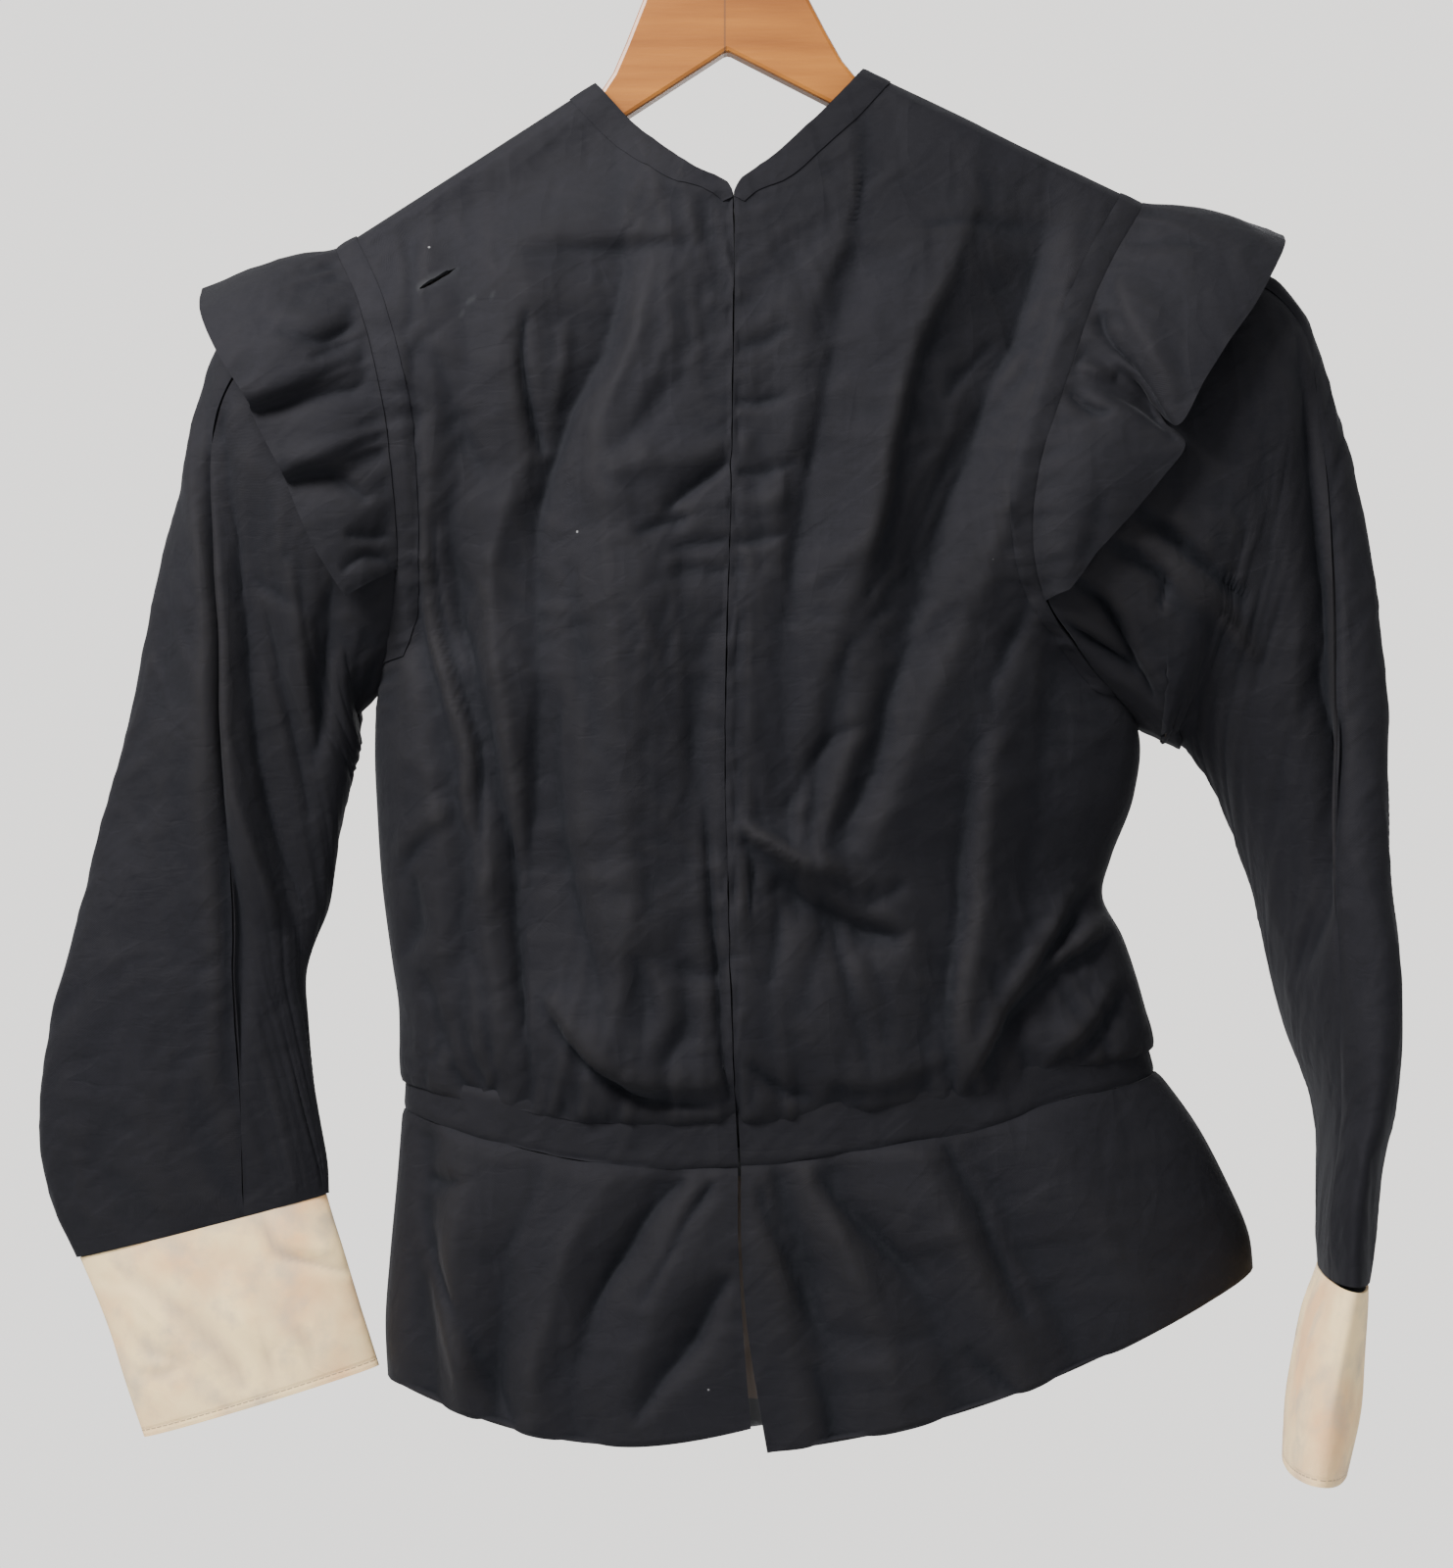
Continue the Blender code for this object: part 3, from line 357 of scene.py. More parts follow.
black, tree, shader, where = start_material("black cotton", 0.70, sheen=0.03)
shader.inputs["Sheen Roughness"].default_value = 0.45
shader.inputs["Sheen Tint"].default_value = (0.80, 0.82, 0.88, 1.0)
shader.inputs["Specular IOR Level"].default_value = 0.14
shader.inputs["Specular Tint"].default_value = (0.94, 0.90, 1.0, 1.0)
crest = kept_value(tree, "crest")
wear_and_shade = place_group(tree, fading_and_shade, {"Place": where, "Crest": crest, "Patch size": 9.0})
fluff = place_group(tree, lint, {"Place": where, "Specks": 110.0, "Share": 0.006})
threads = place_group(tree, weave, {"Cut": flat_cut(tree), "Threads": BLACK_THREADS})
colour = blend_colours(tree, wear_and_shade["Faded"], BLACK_DYE, FADED_BLACK)
# Painted shade in the hollows of the folds.
colour = blend_colours(tree, wear_and_shade["Painted shade"], colour, SHADE_BLUE_BLACK)
grain = maths(tree, "MULTIPLY", ramp(tree, wear_and_shade["Mottle"], 0.2, 0.9), GRAIN_SHARE)
colour = blend_colours(tree, grain, colour, GREY_GRAIN)
colour = blend_colours(tree, kept_value(tree, "frayed"), colour, FRAYED_THREAD)
colour = blend_colours(tree, fluff["Mask"], colour, LINT_GREY)
tree.links.new(colour, shader.inputs["Base Color"])

relief = [(threads["Height"], 0.00012, RELIEF_STRENGTH)]
for size, turn, sharpness, depth in WRINKLES:
    values = {"Size": size, "Turn": turn, "Tallness": WRINKLE_TALLNESS, "Sharpness": sharpness}
    wrinkle = place_group(tree, rumples, {"Place": where, **values})
    relief.append((wrinkle["Height"], depth, RELIEF_STRENGTH))
add_relief(tree, shader, relief)
print("black cotton:", len(tree.nodes), "nodes,", len(relief), "heights of relief")

# %% [markdown]
# ## Lining, cream cotton, wood and wire
#
# The lining is brown glazed cotton, seen through the slit of the peplum and from below. Black cotton is
# turned in along every edge, so the lining reads how far a point is from its piece's edge. A strip behind the
# closing is black too: partly the facing that backs the closing, partly painted shade on the back's lining,
# seen through the gap. The cuffs are cream with peach stains, grey blotches at random places and painted
# brown shade in the hollows of their folds, and a row of stitches along the hem. The hanger is pale
# varnished wood of two arms that meet in the middle, and its hook is plain wire. A photograph of each cloth
# could be laid on instead, but noise fits any piece and has no edges.

# %% Lining
LINING_BROWN, WORN_BROWN, BLACK_FACING_AND_SHADE = (
    (0.040, 0.026, 0.017, 1.0),
    (0.075, 0.050, 0.035, 1.0),
    (0.005, 0.005, 0.006, 1.0),
)
TURNED_IN = 13.0  # millimetres of black cotton turned in along every edge
# A black strip behind the closing: partly the facing that backs it, partly painted shade on the back's lining
# seen through the gap.
CLOSING_SIDE, FACING_AND_SHADE_WIDTH, FACING_AND_SHADE_FOOT = 0.0105, 0.03, -0.59  # metres

lining, tree, shader, where = start_material("brown lining", 0.6, sheen=0.1)
wear_and_shade = place_group(tree, fading_and_shade, {"Place": where, "Crest": 0.3, "Patch size": 14.0})
threads = place_group(tree, weave, {"Cut": flat_cut(tree), "Threads": 1900.0})
colour = blend_colours(tree, wear_and_shade["Faded"], LINING_BROWN, WORN_BROWN)
turned_in = maths(tree, "LESS_THAN", kept_value(tree, "turning"), TURNED_IN)
# Painted shade and facing: the lining in a strip behind the closing, above its foot, turns black.
split = put(tree, "ShaderNodeSeparateXYZ", {0: where}).outputs
beside = maths(tree, "ABSOLUTE", maths(tree, "SUBTRACT", split["X"], CLOSING_SIDE))
behind = maths(tree, "LESS_THAN", beside, FACING_AND_SHADE_WIDTH)
facing = maths(tree, "MULTIPLY", behind, maths(tree, "GREATER_THAN", split["Z"], FACING_AND_SHADE_FOOT))
colour = blend_colours(tree, maths(tree, "MAXIMUM", turned_in, facing), colour, BLACK_FACING_AND_SHADE)
tree.links.new(colour, shader.inputs["Base Color"])
add_relief(tree, shader, [(threads["Height"], 0.0001, 0.3)])
print("lining: black for", TURNED_IN, "mm along every edge")

# %% Cream cotton
CREAM, PEACH_STAIN = (0.98, 0.73, 0.37, 1.0), (0.86, 0.50, 0.23, 1.0)
GREY_BLOTCH, CREAM_HOLLOW_SHADE, HEM_THREAD = (
    (0.54, 0.43, 0.30, 1.0),
    # painted shade: brown for the hollows of the cuffs' folds
    (0.46, 0.33, 0.22, 1.0),
    (0.36, 0.26, 0.17, 1.0),
)
HEM_STITCHES = {"From edge": 0.003, "Stitch": 0.0028, "Thread": 0.0004}
CREAM_WRINKLES = {"Size": 34.0, "Turn": 0.9, "Tallness": 0.5, "Sharpness": 0.3}

cream, tree, shader, where = start_material("cream cotton", 0.85, sheen=0.05)
peach, grey = noise(tree, where, 26.0, 4.0), noise(tree, where, 60.0, 5.0)
threads = place_group(tree, weave, {"Cut": flat_cut(tree), "Threads": 1500.0})
creased = place_group(tree, rumples, {"Place": where, **CREAM_WRINKLES})
hem = place_group(tree, stitches, {"Cut": flat_cut(tree), **HEM_STITCHES})
colour = blend_colours(tree, ramp(tree, peach["Fac"], 0.45, 0.66), CREAM, PEACH_STAIN)
# Grey blotches at random places on the cream.
colour = blend_colours(tree, ramp(tree, grey["Fac"], 0.48, 0.76), colour, GREY_BLOTCH)
# Painted shade: the hollows of the cuffs' folds, where the crest value is low, turn brown.
raised = ramp(tree, kept_value(tree, "crest"), -0.7, 0.15)
colour = blend_colours(tree, raised, CREAM_HOLLOW_SHADE, colour)
colour = blend_colours(tree, hem["Mask"], colour, HEM_THREAD)
tree.links.new(colour, shader.inputs["Base Color"])
add_relief(
    tree,
    shader,
    [(threads["Height"], 0.00015, 0.4), (hem["Height"], 0.0006, 0.5), (creased["Height"], 0.007, 0.5)],
)
print("cream cotton: a stitch every", HEM_STITCHES["Stitch"] * 1000, "mm")

# %% Wood
WOOD_LIGHT, WOOD_DARK, JOINT_DARK = (
    (0.35, 0.122, 0.009, 1.0),
    (0.21, 0.062, 0.003, 1.0),
    (0.10, 0.04, 0.015, 1.0),
)
GRAIN_STRETCH = (6.0, 40.0, 70.0)  # long along the arms and narrow across them
JOINT_SIDE = 0.0068  # the two arms meet here

wood, tree, shader, where = start_material("varnished wood", 0.42)
shader.inputs["Coat Weight"].default_value = 0.12
shader.inputs["Coat Roughness"].default_value = 0.25
along_arm = put(tree, "ShaderNodeVectorMath", {0: where, 1: GRAIN_STRETCH}, operation="MULTIPLY").outputs[0]
rings, pores = noise(tree, along_arm, 1.6, 5.0), noise(tree, along_arm, 9.0, 3.0)
colour = blend_colours(tree, ramp(tree, rings["Fac"], 0.3, 0.7), WOOD_DARK, WOOD_LIGHT)
side = put(tree, "ShaderNodeSeparateXYZ", {0: where}).outputs["X"]
off_joint = maths(tree, "ABSOLUTE", maths(tree, "SUBTRACT", side, JOINT_SIDE))
joint = maths(tree, "SUBTRACT", 1.0, ramp(tree, off_joint, 0.0001, 0.0006))
colour = blend_colours(tree, maths(tree, "MULTIPLY", joint, 0.8), colour, JOINT_DARK)
tree.links.new(colour, shader.inputs["Base Color"])
add_relief(tree, shader, [(pores["Fac"], 0.0002, 0.3)])
print("wood:", len(tree.nodes), "nodes")

# %% Wire and floor
DULL_WIRE, BRIGHT_WIRE = (0.50, 0.49, 0.47, 1.0), (0.66, 0.66, 0.67, 1.0)
FLOOR_SHADE, FLOOR_LIGHT = (0.585, 0.60, 0.62, 1.0), (0.665, 0.68, 0.70, 1.0)

steel, tree, shader, where = start_material("bright wire", 0.3, metallic=1.0)
drawn = noise(tree, where, 180.0, 4.0)["Fac"]
tree.links.new(blend_colours(tree, drawn, DULL_WIRE, BRIGHT_WIRE), shader.inputs["Base Color"])
tree.links.new(maths(tree, "MULTIPLY", drawn, 0.6), shader.inputs["Roughness"])

pale, tree, shader, where = start_material("pale floor", 0.9)
dust = noise(tree, where, 3.0, 4.0)["Fac"]
tree.links.new(blend_colours(tree, dust, FLOOR_SHADE, FLOOR_LIGHT), shader.inputs["Base Color"])
floor.data.materials.append(pale)

for name, look in (("hanger_wood", wood), ("hanger_hook", steel)):
    node = frame["nodes"][name]
    node.data.materials.clear()
    node.data.materials.append(look)
print("materials:", [material.name for material in bpy.data.materials])

# %% [markdown]
# ## Grids of points
#
# A piece starts as a grid of points about 2 mm apart, fine enough for a fold to have a steep side. Smooth
# curves run through the measured sections, and the folds and a little uneven noise then move each point
# along its normal. How far a point was raised above its surroundings is kept as an attribute named crest,
# so that the fading and the painted shade in the hollows can follow the folds.


# %% Curves
SPACING = 2.0  # millimetres between rows of points


def through(rows, places):
    """Points on a smooth curve through the rows, at places counted in rows."""
    rows, places = np.asarray(rows, float), np.asarray(places, float)
    start = np.clip(np.floor(places).astype(int), 0, len(rows) - 2)
    t = (places - start)[:, None]
    a, b = rows[np.maximum(start - 1, 0)], rows[start]
    c, d = rows[start + 1], rows[np.minimum(start + 2, len(rows) - 1)]
    return b + 0.5 * t * (c - a + t * (2 * a - 5 * b + 4 * c - d + t * (3 * (b - c) + d - a)))


def along(line, shares):
    """Points on a line at shares of its length."""
    steps = np.linalg.norm(np.diff(line, axis=0), axis=1)
    length = np.concatenate([[0.0], np.cumsum(steps)])
    wanted = np.asarray(shares) * length[-1]
    return np.stack([np.interp(wanted, length, line[:, k]) for k in range(line.shape[1])], axis=1)


def even_places(rows, spacing):
    """Places, counted in rows, that lie about evenly along the middles of the sections."""
    rows = np.asarray(rows, float)
    middles = (rows[:, :2] + rows[:, 3:5]) / 2
    length = np.concatenate([[0.0], np.cumsum(np.linalg.norm(np.diff(middles, axis=0), axis=1))])
    count = int(length[-1] / spacing) + 2
    return np.interp(np.linspace(0, length[-1], count), length, np.arange(len(rows)))


def unit(vectors):
    """The same directions with a length of 1."""
    return vectors / np.maximum(np.linalg.norm(vectors, axis=-1, keepdims=True), 1e-9)


def normals(grid, outward):
    """Unit normals of a grid of points, turned so that most of them agree with the outward vectors."""
    found = unit(np.cross(np.gradient(grid, axis=0), np.gradient(grid, axis=1)))
    return found if (found * outward).sum() > 0 else -found


def cut_places(grid):
    """Each point's distance from the first column and from the first row, along the cloth."""
    across = np.linalg.norm(np.diff(grid, axis=1), axis=2).cumsum(axis=1)
    down = np.linalg.norm(np.diff(grid, axis=0), axis=2).cumsum(axis=0)
    across = np.concatenate([np.zeros((len(grid), 1)), across], axis=1)
    down = np.concatenate([np.zeros((1, grid.shape[1])), down])
    return across, down


print("half way from (0, 0) to (4, 2):", along(np.array([[0.0, 0.0], [4.0, 2.0]]), [0.5])[0])


# %% Noise
NOISE_CELLS = 64  # after so many cells the noise repeats


def lattice_noise(u, v, size, seed):
    """Smooth noise from -1 to 1 over two coordinates in millimetres. The same seed gives the same noise."""
    values = np.random.default_rng(seed).uniform(-1, 1, (NOISE_CELLS, NOISE_CELLS))
    i, j = np.floor(u / size).astype(int), np.floor(v / size).astype(int)
    s, t = u / size - i, v / size - j
    s, t = (w**3 * (w * (6 * w - 15) + 10) for w in (s, t))
    beside = ((0, 0), (1, 0), (0, 1), (1, 1))
    corner = [values[(i + a) % NOISE_CELLS, (j + b) % NOISE_CELLS] for a, b in beside]
    near, far = corner[0] * (1 - s) + corner[1] * s, corner[2] * (1 - s) + corner[3] * s
    return near * (1 - t) + far * t


def ridged(u, v, size, seed):
    """Noise with sharp creases and flat places between, from -0.5 to 0.5."""
    return 0.5 - np.abs(lattice_noise(u, v, size, seed)) ** 0.8


def rumple(u, v, seed):
    """Uneven swells and small sharp creases, in millimetres, longer down the cloth than across it."""
    bent = u + 9 * lattice_noise(u, v, 60, seed)
    leant = v + 14 * lattice_noise(u, v, 48, seed + 9)
    height = 1.4 * lattice_noise(bent, leant / 2.2, 40, seed + 1)  # swells
    height += 1.6 * ridged(bent, leant / 4.0, 24, seed + 2)  # long creases down the cloth
    height += 1.0 * ridged(bent + 0.35 * leant, leant / 3.0, 15, seed + 3)  # ones that lean to one side
    height += 0.7 * ridged(bent - 0.7 * leant, leant / 1.8, 12, seed + 4)  # and to the other
    height += 0.6 * ridged(leant + 0.5 * bent, bent / 2.4, 14, seed + 6)  # short ones across
    return height + 0.12 * lattice_noise(u, v, 6, seed + 5)


places = np.linspace(0.0, 90.0, 4)
print("rumples over 90 mm:", np.round(rumple(places, places, 1), 1), "mm")


# %% Heights of short folds
CREASE_STEPS = 17  # points along a fold
FOLD_REACH = 3.0  # widths from a fold at which nothing of it is left


def wandered(x, drop):
    """Places moved by a few millimetres, so that no fold is a perfect curve."""
    aside = 3.2 * lattice_noise(x, drop, 70, 5) + 1.3 * lattice_noise(x, drop, 24, 6)
    down = 3.2 * lattice_noise(x, drop, 70, 7) + 1.3 * lattice_noise(x, drop, 24, 8)
    return np.stack([x + aside, drop + down], axis=-1)


def crease_heights(points, creases):
    """How far the folds raise or sink the cloth at each point."""
    places = wandered(points[..., 0], -points[..., 2]).reshape(-1, 2)
    height = np.zeros(len(places))
    for _, path, left, right, rise, power, *strongest in creases:
        line = through(path, np.linspace(0, len(path) - 1, CREASE_STEPS))
        reach = FOLD_REACH * max(left, right)
        inside = (places > line.min(axis=0) - reach) & (places < line.max(axis=0) + reach)
        near = np.flatnonzero(inside.all(axis=1))
        here = places[near]
        away, share, turned = np.full(len(here), np.inf), np.zeros(len(here)), np.zeros(len(here))
        for k, (start, end) in enumerate(zip(line[:-1], line[1:])):
            step = end - start
            t = np.clip(((here - start) @ step) / (step @ step), 0, 1)
            rest = here - start - t[:, None] * step
            distance = np.linalg.norm(rest, axis=1)
            side = step[0] * rest[:, 1] - step[1] * rest[:, 0]
            side = side / (np.linalg.norm(step) * distance + 1e-6)
            closer = distance < away
            share = np.where(closer, (k + t) / (len(line) - 1), share)
            turned = np.where(closer, side, turned)
            away = np.minimum(away, distance)
        peak = strongest[0] if strongest else 0.5
        life = np.clip(np.minimum(share / max(peak, 0.01), (1 - share) / max(1 - peak, 0.01)), 0, 1)
        life = np.sin(life * math.pi / 2)
        width = ((left + right) / 2 + turned * (left - right) / 2) * (0.45 + 0.55 * life)
        height[near] += rise * np.exp(-((away / width) ** power)) * life**0.8
    return height.reshape(points.shape[:-1])


trial = crease_heights(np.array([[[0.0, 0.0, -300.0]]]), [("trial", ((0, 280), (0, 320)), 6, 6, 2.0, 2.0)])
print("a fold of 2 mm, near its middle:", round(float(trial[0, 0]), 2), "mm")


# %% Heights of long folds
def long_fold_heights(points, folds):
    """The long folds' height at each point, and each point's place between them, for noise along them."""
    places = wandered(points[..., 0], -points[..., 2])
    x, drop = places[..., 0], places[..., 1]
    middle, height, place = [], np.zeros(x.shape), np.zeros(x.shape)
    for _, line in folds:
        line = np.array(line, float)
        middle.append([np.interp(drop, line[:, 1], line[:, k]) for k in (0, 2)])
    outward = np.sign(middle[-1][0].mean() - middle[0][0].mean())
    for k, ((near_x, near_height), (far_x, far_height)) in enumerate(zip(middle[:-1], middle[1:])):
        t = (x - near_x) * outward / np.maximum((far_x - near_x) * outward, 1.0)
        here = (t >= 0) & (t < 1)
        height = np.where(here, near_height + (far_height - near_height) * t, height)
        place = np.where(here, k + t, place)
    return height, np.where(t >= 1, len(folds) - 1.0, place)


def softened(field, cells):
    """The field averaged over a few cells each way."""
    weights = np.hanning(2 * cells + 3)[1:-1]
    weights /= weights.sum()
    for axis in (0, 1):
        spread = [(cells, cells) if k == axis else (0, 0) for k in (0, 1)]
        padded = np.pad(field, spread, mode="edge")
        field = np.apply_along_axis(np.convolve, axis, padded, weights, mode="valid")
    return field


def crests(height):
    """From -1 in a hollow to 1 on a crest, from how far a point stands above its surroundings."""
    wide = height - softened(height, 6)
    narrow = height - softened(height, 2)
    return np.clip(wide / 4 + narrow / 3, -1, 1)


print("a point 2 mm high, softened:", round(float(softened(np.pad([[2.0]], 3), 1).max()), 2), "mm")


# %% [markdown]
# ## One way to make every cloth piece
#
# A grid becomes a mesh with the lining's side where the wearer is, and a Solidify modifier adds the cloth's
# thickness outwards, which also closes the edges. The inner layer takes the second material, so the lining
# shows only inside. The edge is marked as sharp, because two pieces that meet at a seam would otherwise look
# like two thin pipes. The same function hands the piece to the frame: it rides on the body and stands for
# its solid.


# %% Cloth pieces
cut_size = {}  # each piece's widest row and longest column along the cloth


def loft_faces(numbers, around=False):
    """A face for each cell of a grid of point numbers."""
    after = np.roll(numbers, -1, axis=1)
    cells = np.stack([numbers[:-1], after[:-1], after[1:], numbers[1:]], axis=-1)
    cells = cells if around else cells[:, :-1]
    return cells.reshape(-1, 4)


def keep(mesh, name, values):
    """Keeps a value at each point, for the finishes to read."""
    stored = mesh.attributes.new(name, "FLOAT", "POINT")
    stored.data.foreach_set("value", values.astype(np.float32).ravel())


def mark_rim(mesh, points):
    """Marks the piece's edge as sharp, and keeps how far each point is from it."""
    corner_edges, ends = np.empty(len(mesh.loops), int), np.empty(2 * len(mesh.edges), int)
    mesh.loops.foreach_get("edge_index", corner_edges)
    mesh.edges.foreach_get("vertices", ends)
    at_rim = np.bincount(corner_edges, minlength=len(mesh.edges)) == 1
    rim = points[np.unique(ends.reshape(-1, 2)[at_rim])]
    parts = np.array_split(points, 40)  # in parts, to spare memory
    nearest = [np.linalg.norm(part[:, None] - rim[None], axis=2).min(axis=1) for part in parts]
    mesh.attributes.new("sharp_edge", "BOOLEAN", "EDGE").data.foreach_set("value", at_rim)
    keep(mesh, "turning", np.concatenate(nearest))


print("faces between 3 by 4 points:", len(loft_faces(np.arange(12).reshape(3, 4))))


# %% A closed shell
def cloth(name, points, faces, corner_cuts, outward, crest, look, wall=WALL, inside=None, frayed=None):
    """A thin closed shell. corner_cuts holds a place on the flat cut for each corner of each face."""
    first, second, third = (points[faces[:, k]] for k in range(3))
    if (np.cross(second - first, third - first) * outward[faces[:, 0]]).sum() < 0:
        faces, corner_cuts = faces[:, ::-1], corner_cuts[:, ::-1]
    mesh = bpy.data.meshes.new(name)
    mesh.from_pydata((points * MM).tolist(), [], faces.tolist())
    layer = mesh.uv_layers.new(name="cut")
    layer.data.foreach_set("uv", (corner_cuts * MM).astype(np.float32).ravel())
    keep(mesh, "crest", crest)
    mark_rim(mesh, points)
    if frayed is not None:
        keep(mesh, "frayed", frayed)
    mesh.materials.append(look)
    mesh.materials.append(inside or lining)
    mesh.shade_smooth()
    piece = bpy.data.objects.new(f"cloth_{name}", mesh)
    bpy.context.scene.collection.objects.link(piece)
    shell = piece.modifiers.new("wall", "SOLIDIFY")
    shell.thickness = wall * MM
    shell.offset = 1.0
    shell.material_offset = 1
    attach(piece, "root")
    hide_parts(name)
    area = sum(polygon.area for polygon in mesh.polygons)
    print(f"{name}: {len(faces)} faces, {area:.4f} square metres of cloth")


# %% A shell from a grid
def sheet(name, grid, outward, crest, look=black, around=False, missing=None, **more):
    """A cloth piece from one grid of points. missing marks the cells that a rip leaves out."""
    rows, columns = grid.shape[:2]
    across, down = cut_places(grid)
    if around:
        closing = across[:, -1:] + np.linalg.norm(grid[:, 0] - grid[:, -1], axis=1)[:, None]
        across = np.concatenate([across, closing], axis=1)
        down = np.concatenate([down, down[:, :1]], axis=1)
    faces = loft_faces(np.arange(rows * columns).reshape(rows, columns), around)
    cuts = np.stack([across, down], axis=-1)
    corners = loft_faces(np.arange(cuts.shape[0] * cuts.shape[1]).reshape(cuts.shape[:2]))
    if missing is not None:
        faces, corners = faces[~missing.ravel()], corners[~missing.ravel()]
    outward = np.broadcast_to(outward, grid.shape).reshape(-1, 3)
    cut_size[f"cloth_{name}"] = across[:, -1].max(), down[-1].max()
    corner_cuts = cuts.reshape(-1, 2)[corners]
    cloth(name, grid.reshape(-1, 3), faces, corner_cuts, outward, crest, look, **more)


# %% [markdown]
# ## The garment's measured sections
#
# A pattern cutter describes a garment by a few measurements across it. Each row below is one section of a
# piece: the edge at the centre, the edge at the side and how far each stands from the plane of the hanger.
# They are the sections that the solids have, so the shells lie where the solids are.

# %% Sections of the right front
# centre or neck edge: x, drop, depth; side or armhole edge: x, drop, depth; how far the row sags
FRONT_RIGHT = (
    (11, 565, 41.9, -131, 551, 0, 6),
    (10.6, 551, 45.6, -131.6, 541, 0, 6),
    (10, 537, 48.6, -131.5, 532, 0, 5),
    (9.3, 513, 50, -132, 517, 0, 3),
    (8.3, 485, 48, -135, 497, 0, 0),
    (7.3, 452, 47, -139, 466, 0, 0),
    (6.5, 420, 48, -141, 436, 0, 0),
    (6.9, 383, 50, -142, 409, 0.4, 0),
    (7.7, 347, 50, -140.5, 384, 1.4, 0),
    (8.7, 310, 47, -134, 357, 16, 0),
    (9.3, 277, 44, -131, 329, 27, 0),
    (9.8, 244, 40, -132, 301, 33, 0),
    (10.2, 215, 36, -135, 272, 35, 0),
    (10.2, 188, 32, -140, 247, 33, 0),
    (8.6, 172, 29, -145.5, 228, 28, 0),
    (-9.6, 162, 24, -150.5, 215, 20, 0),
    (-28.5, 147, 14, -155.5, 205, 12.5, 0),
    (-45.5, 128.5, 9.5, -158.5, 199, 7.5, 0),
    (-48, 125, 0, -159.5, 196.5, 0, 0),
)
print("right front:", len(FRONT_RIGHT), "sections")

# %% Sections of the left front
FRONT_LEFT = (
    (12.2, 565, 41.9, 190, 536, 0, 5),
    (11.6, 551, 45.6, 188.5, 528, 0, 5),
    (11, 537, 48.6, 186, 520, 0, 4),
    (10.3, 513, 50, 182, 506, 0, 2),
    (9.3, 485, 48, 176, 489, 0, 0),
    (8.3, 452, 47, 167.5, 472, 0, 0),
    (7.5, 420, 48, 171.5, 454, 0, 0),
    (7.9, 383, 50, 181, 428, 0.4, 0),
    (8.7, 347, 50, 182, 399, 1.4, 0),
    (9.7, 310, 47, 159, 371, 24, 0),
    (10.3, 277, 44, 141, 347, 36, 0),
    (10.8, 244, 41, 135, 320, 41, 0),
    (11.2, 215, 37, 138, 291, 41, 0),
    (11.2, 188, 32, 146, 266, 37, 0),
    (12, 172, 29, 154, 243, 31, 0),
    (27.5, 159.5, 24, 163, 219, 22, 0),
    (46.5, 140.5, 14, 174, 197, 13, 0),
    (63, 122.5, 9.5, 184, 180, 7.5, 0),
    (65.5, 119, 0, 185.5, 177, 0, 0),
)
UNDERARM, NOTCH = 8, 14  # the sections at the foot of the armhole and of the neckline
print("width at the waist:", FRONT_LEFT[0][3] - FRONT_RIGHT[0][3], "mm")

# %% [markdown]
# ## Folds
#
# Each fold is a line on the cloth, with a half width on either side of it, and a rise above or fall below
# the surface. Two different widths make the steep side and the slow side that real folds have, and a sharp
# fold has a pointed profile. The lines follow the photograph on the front, and the hidden sides have similar
# ones.

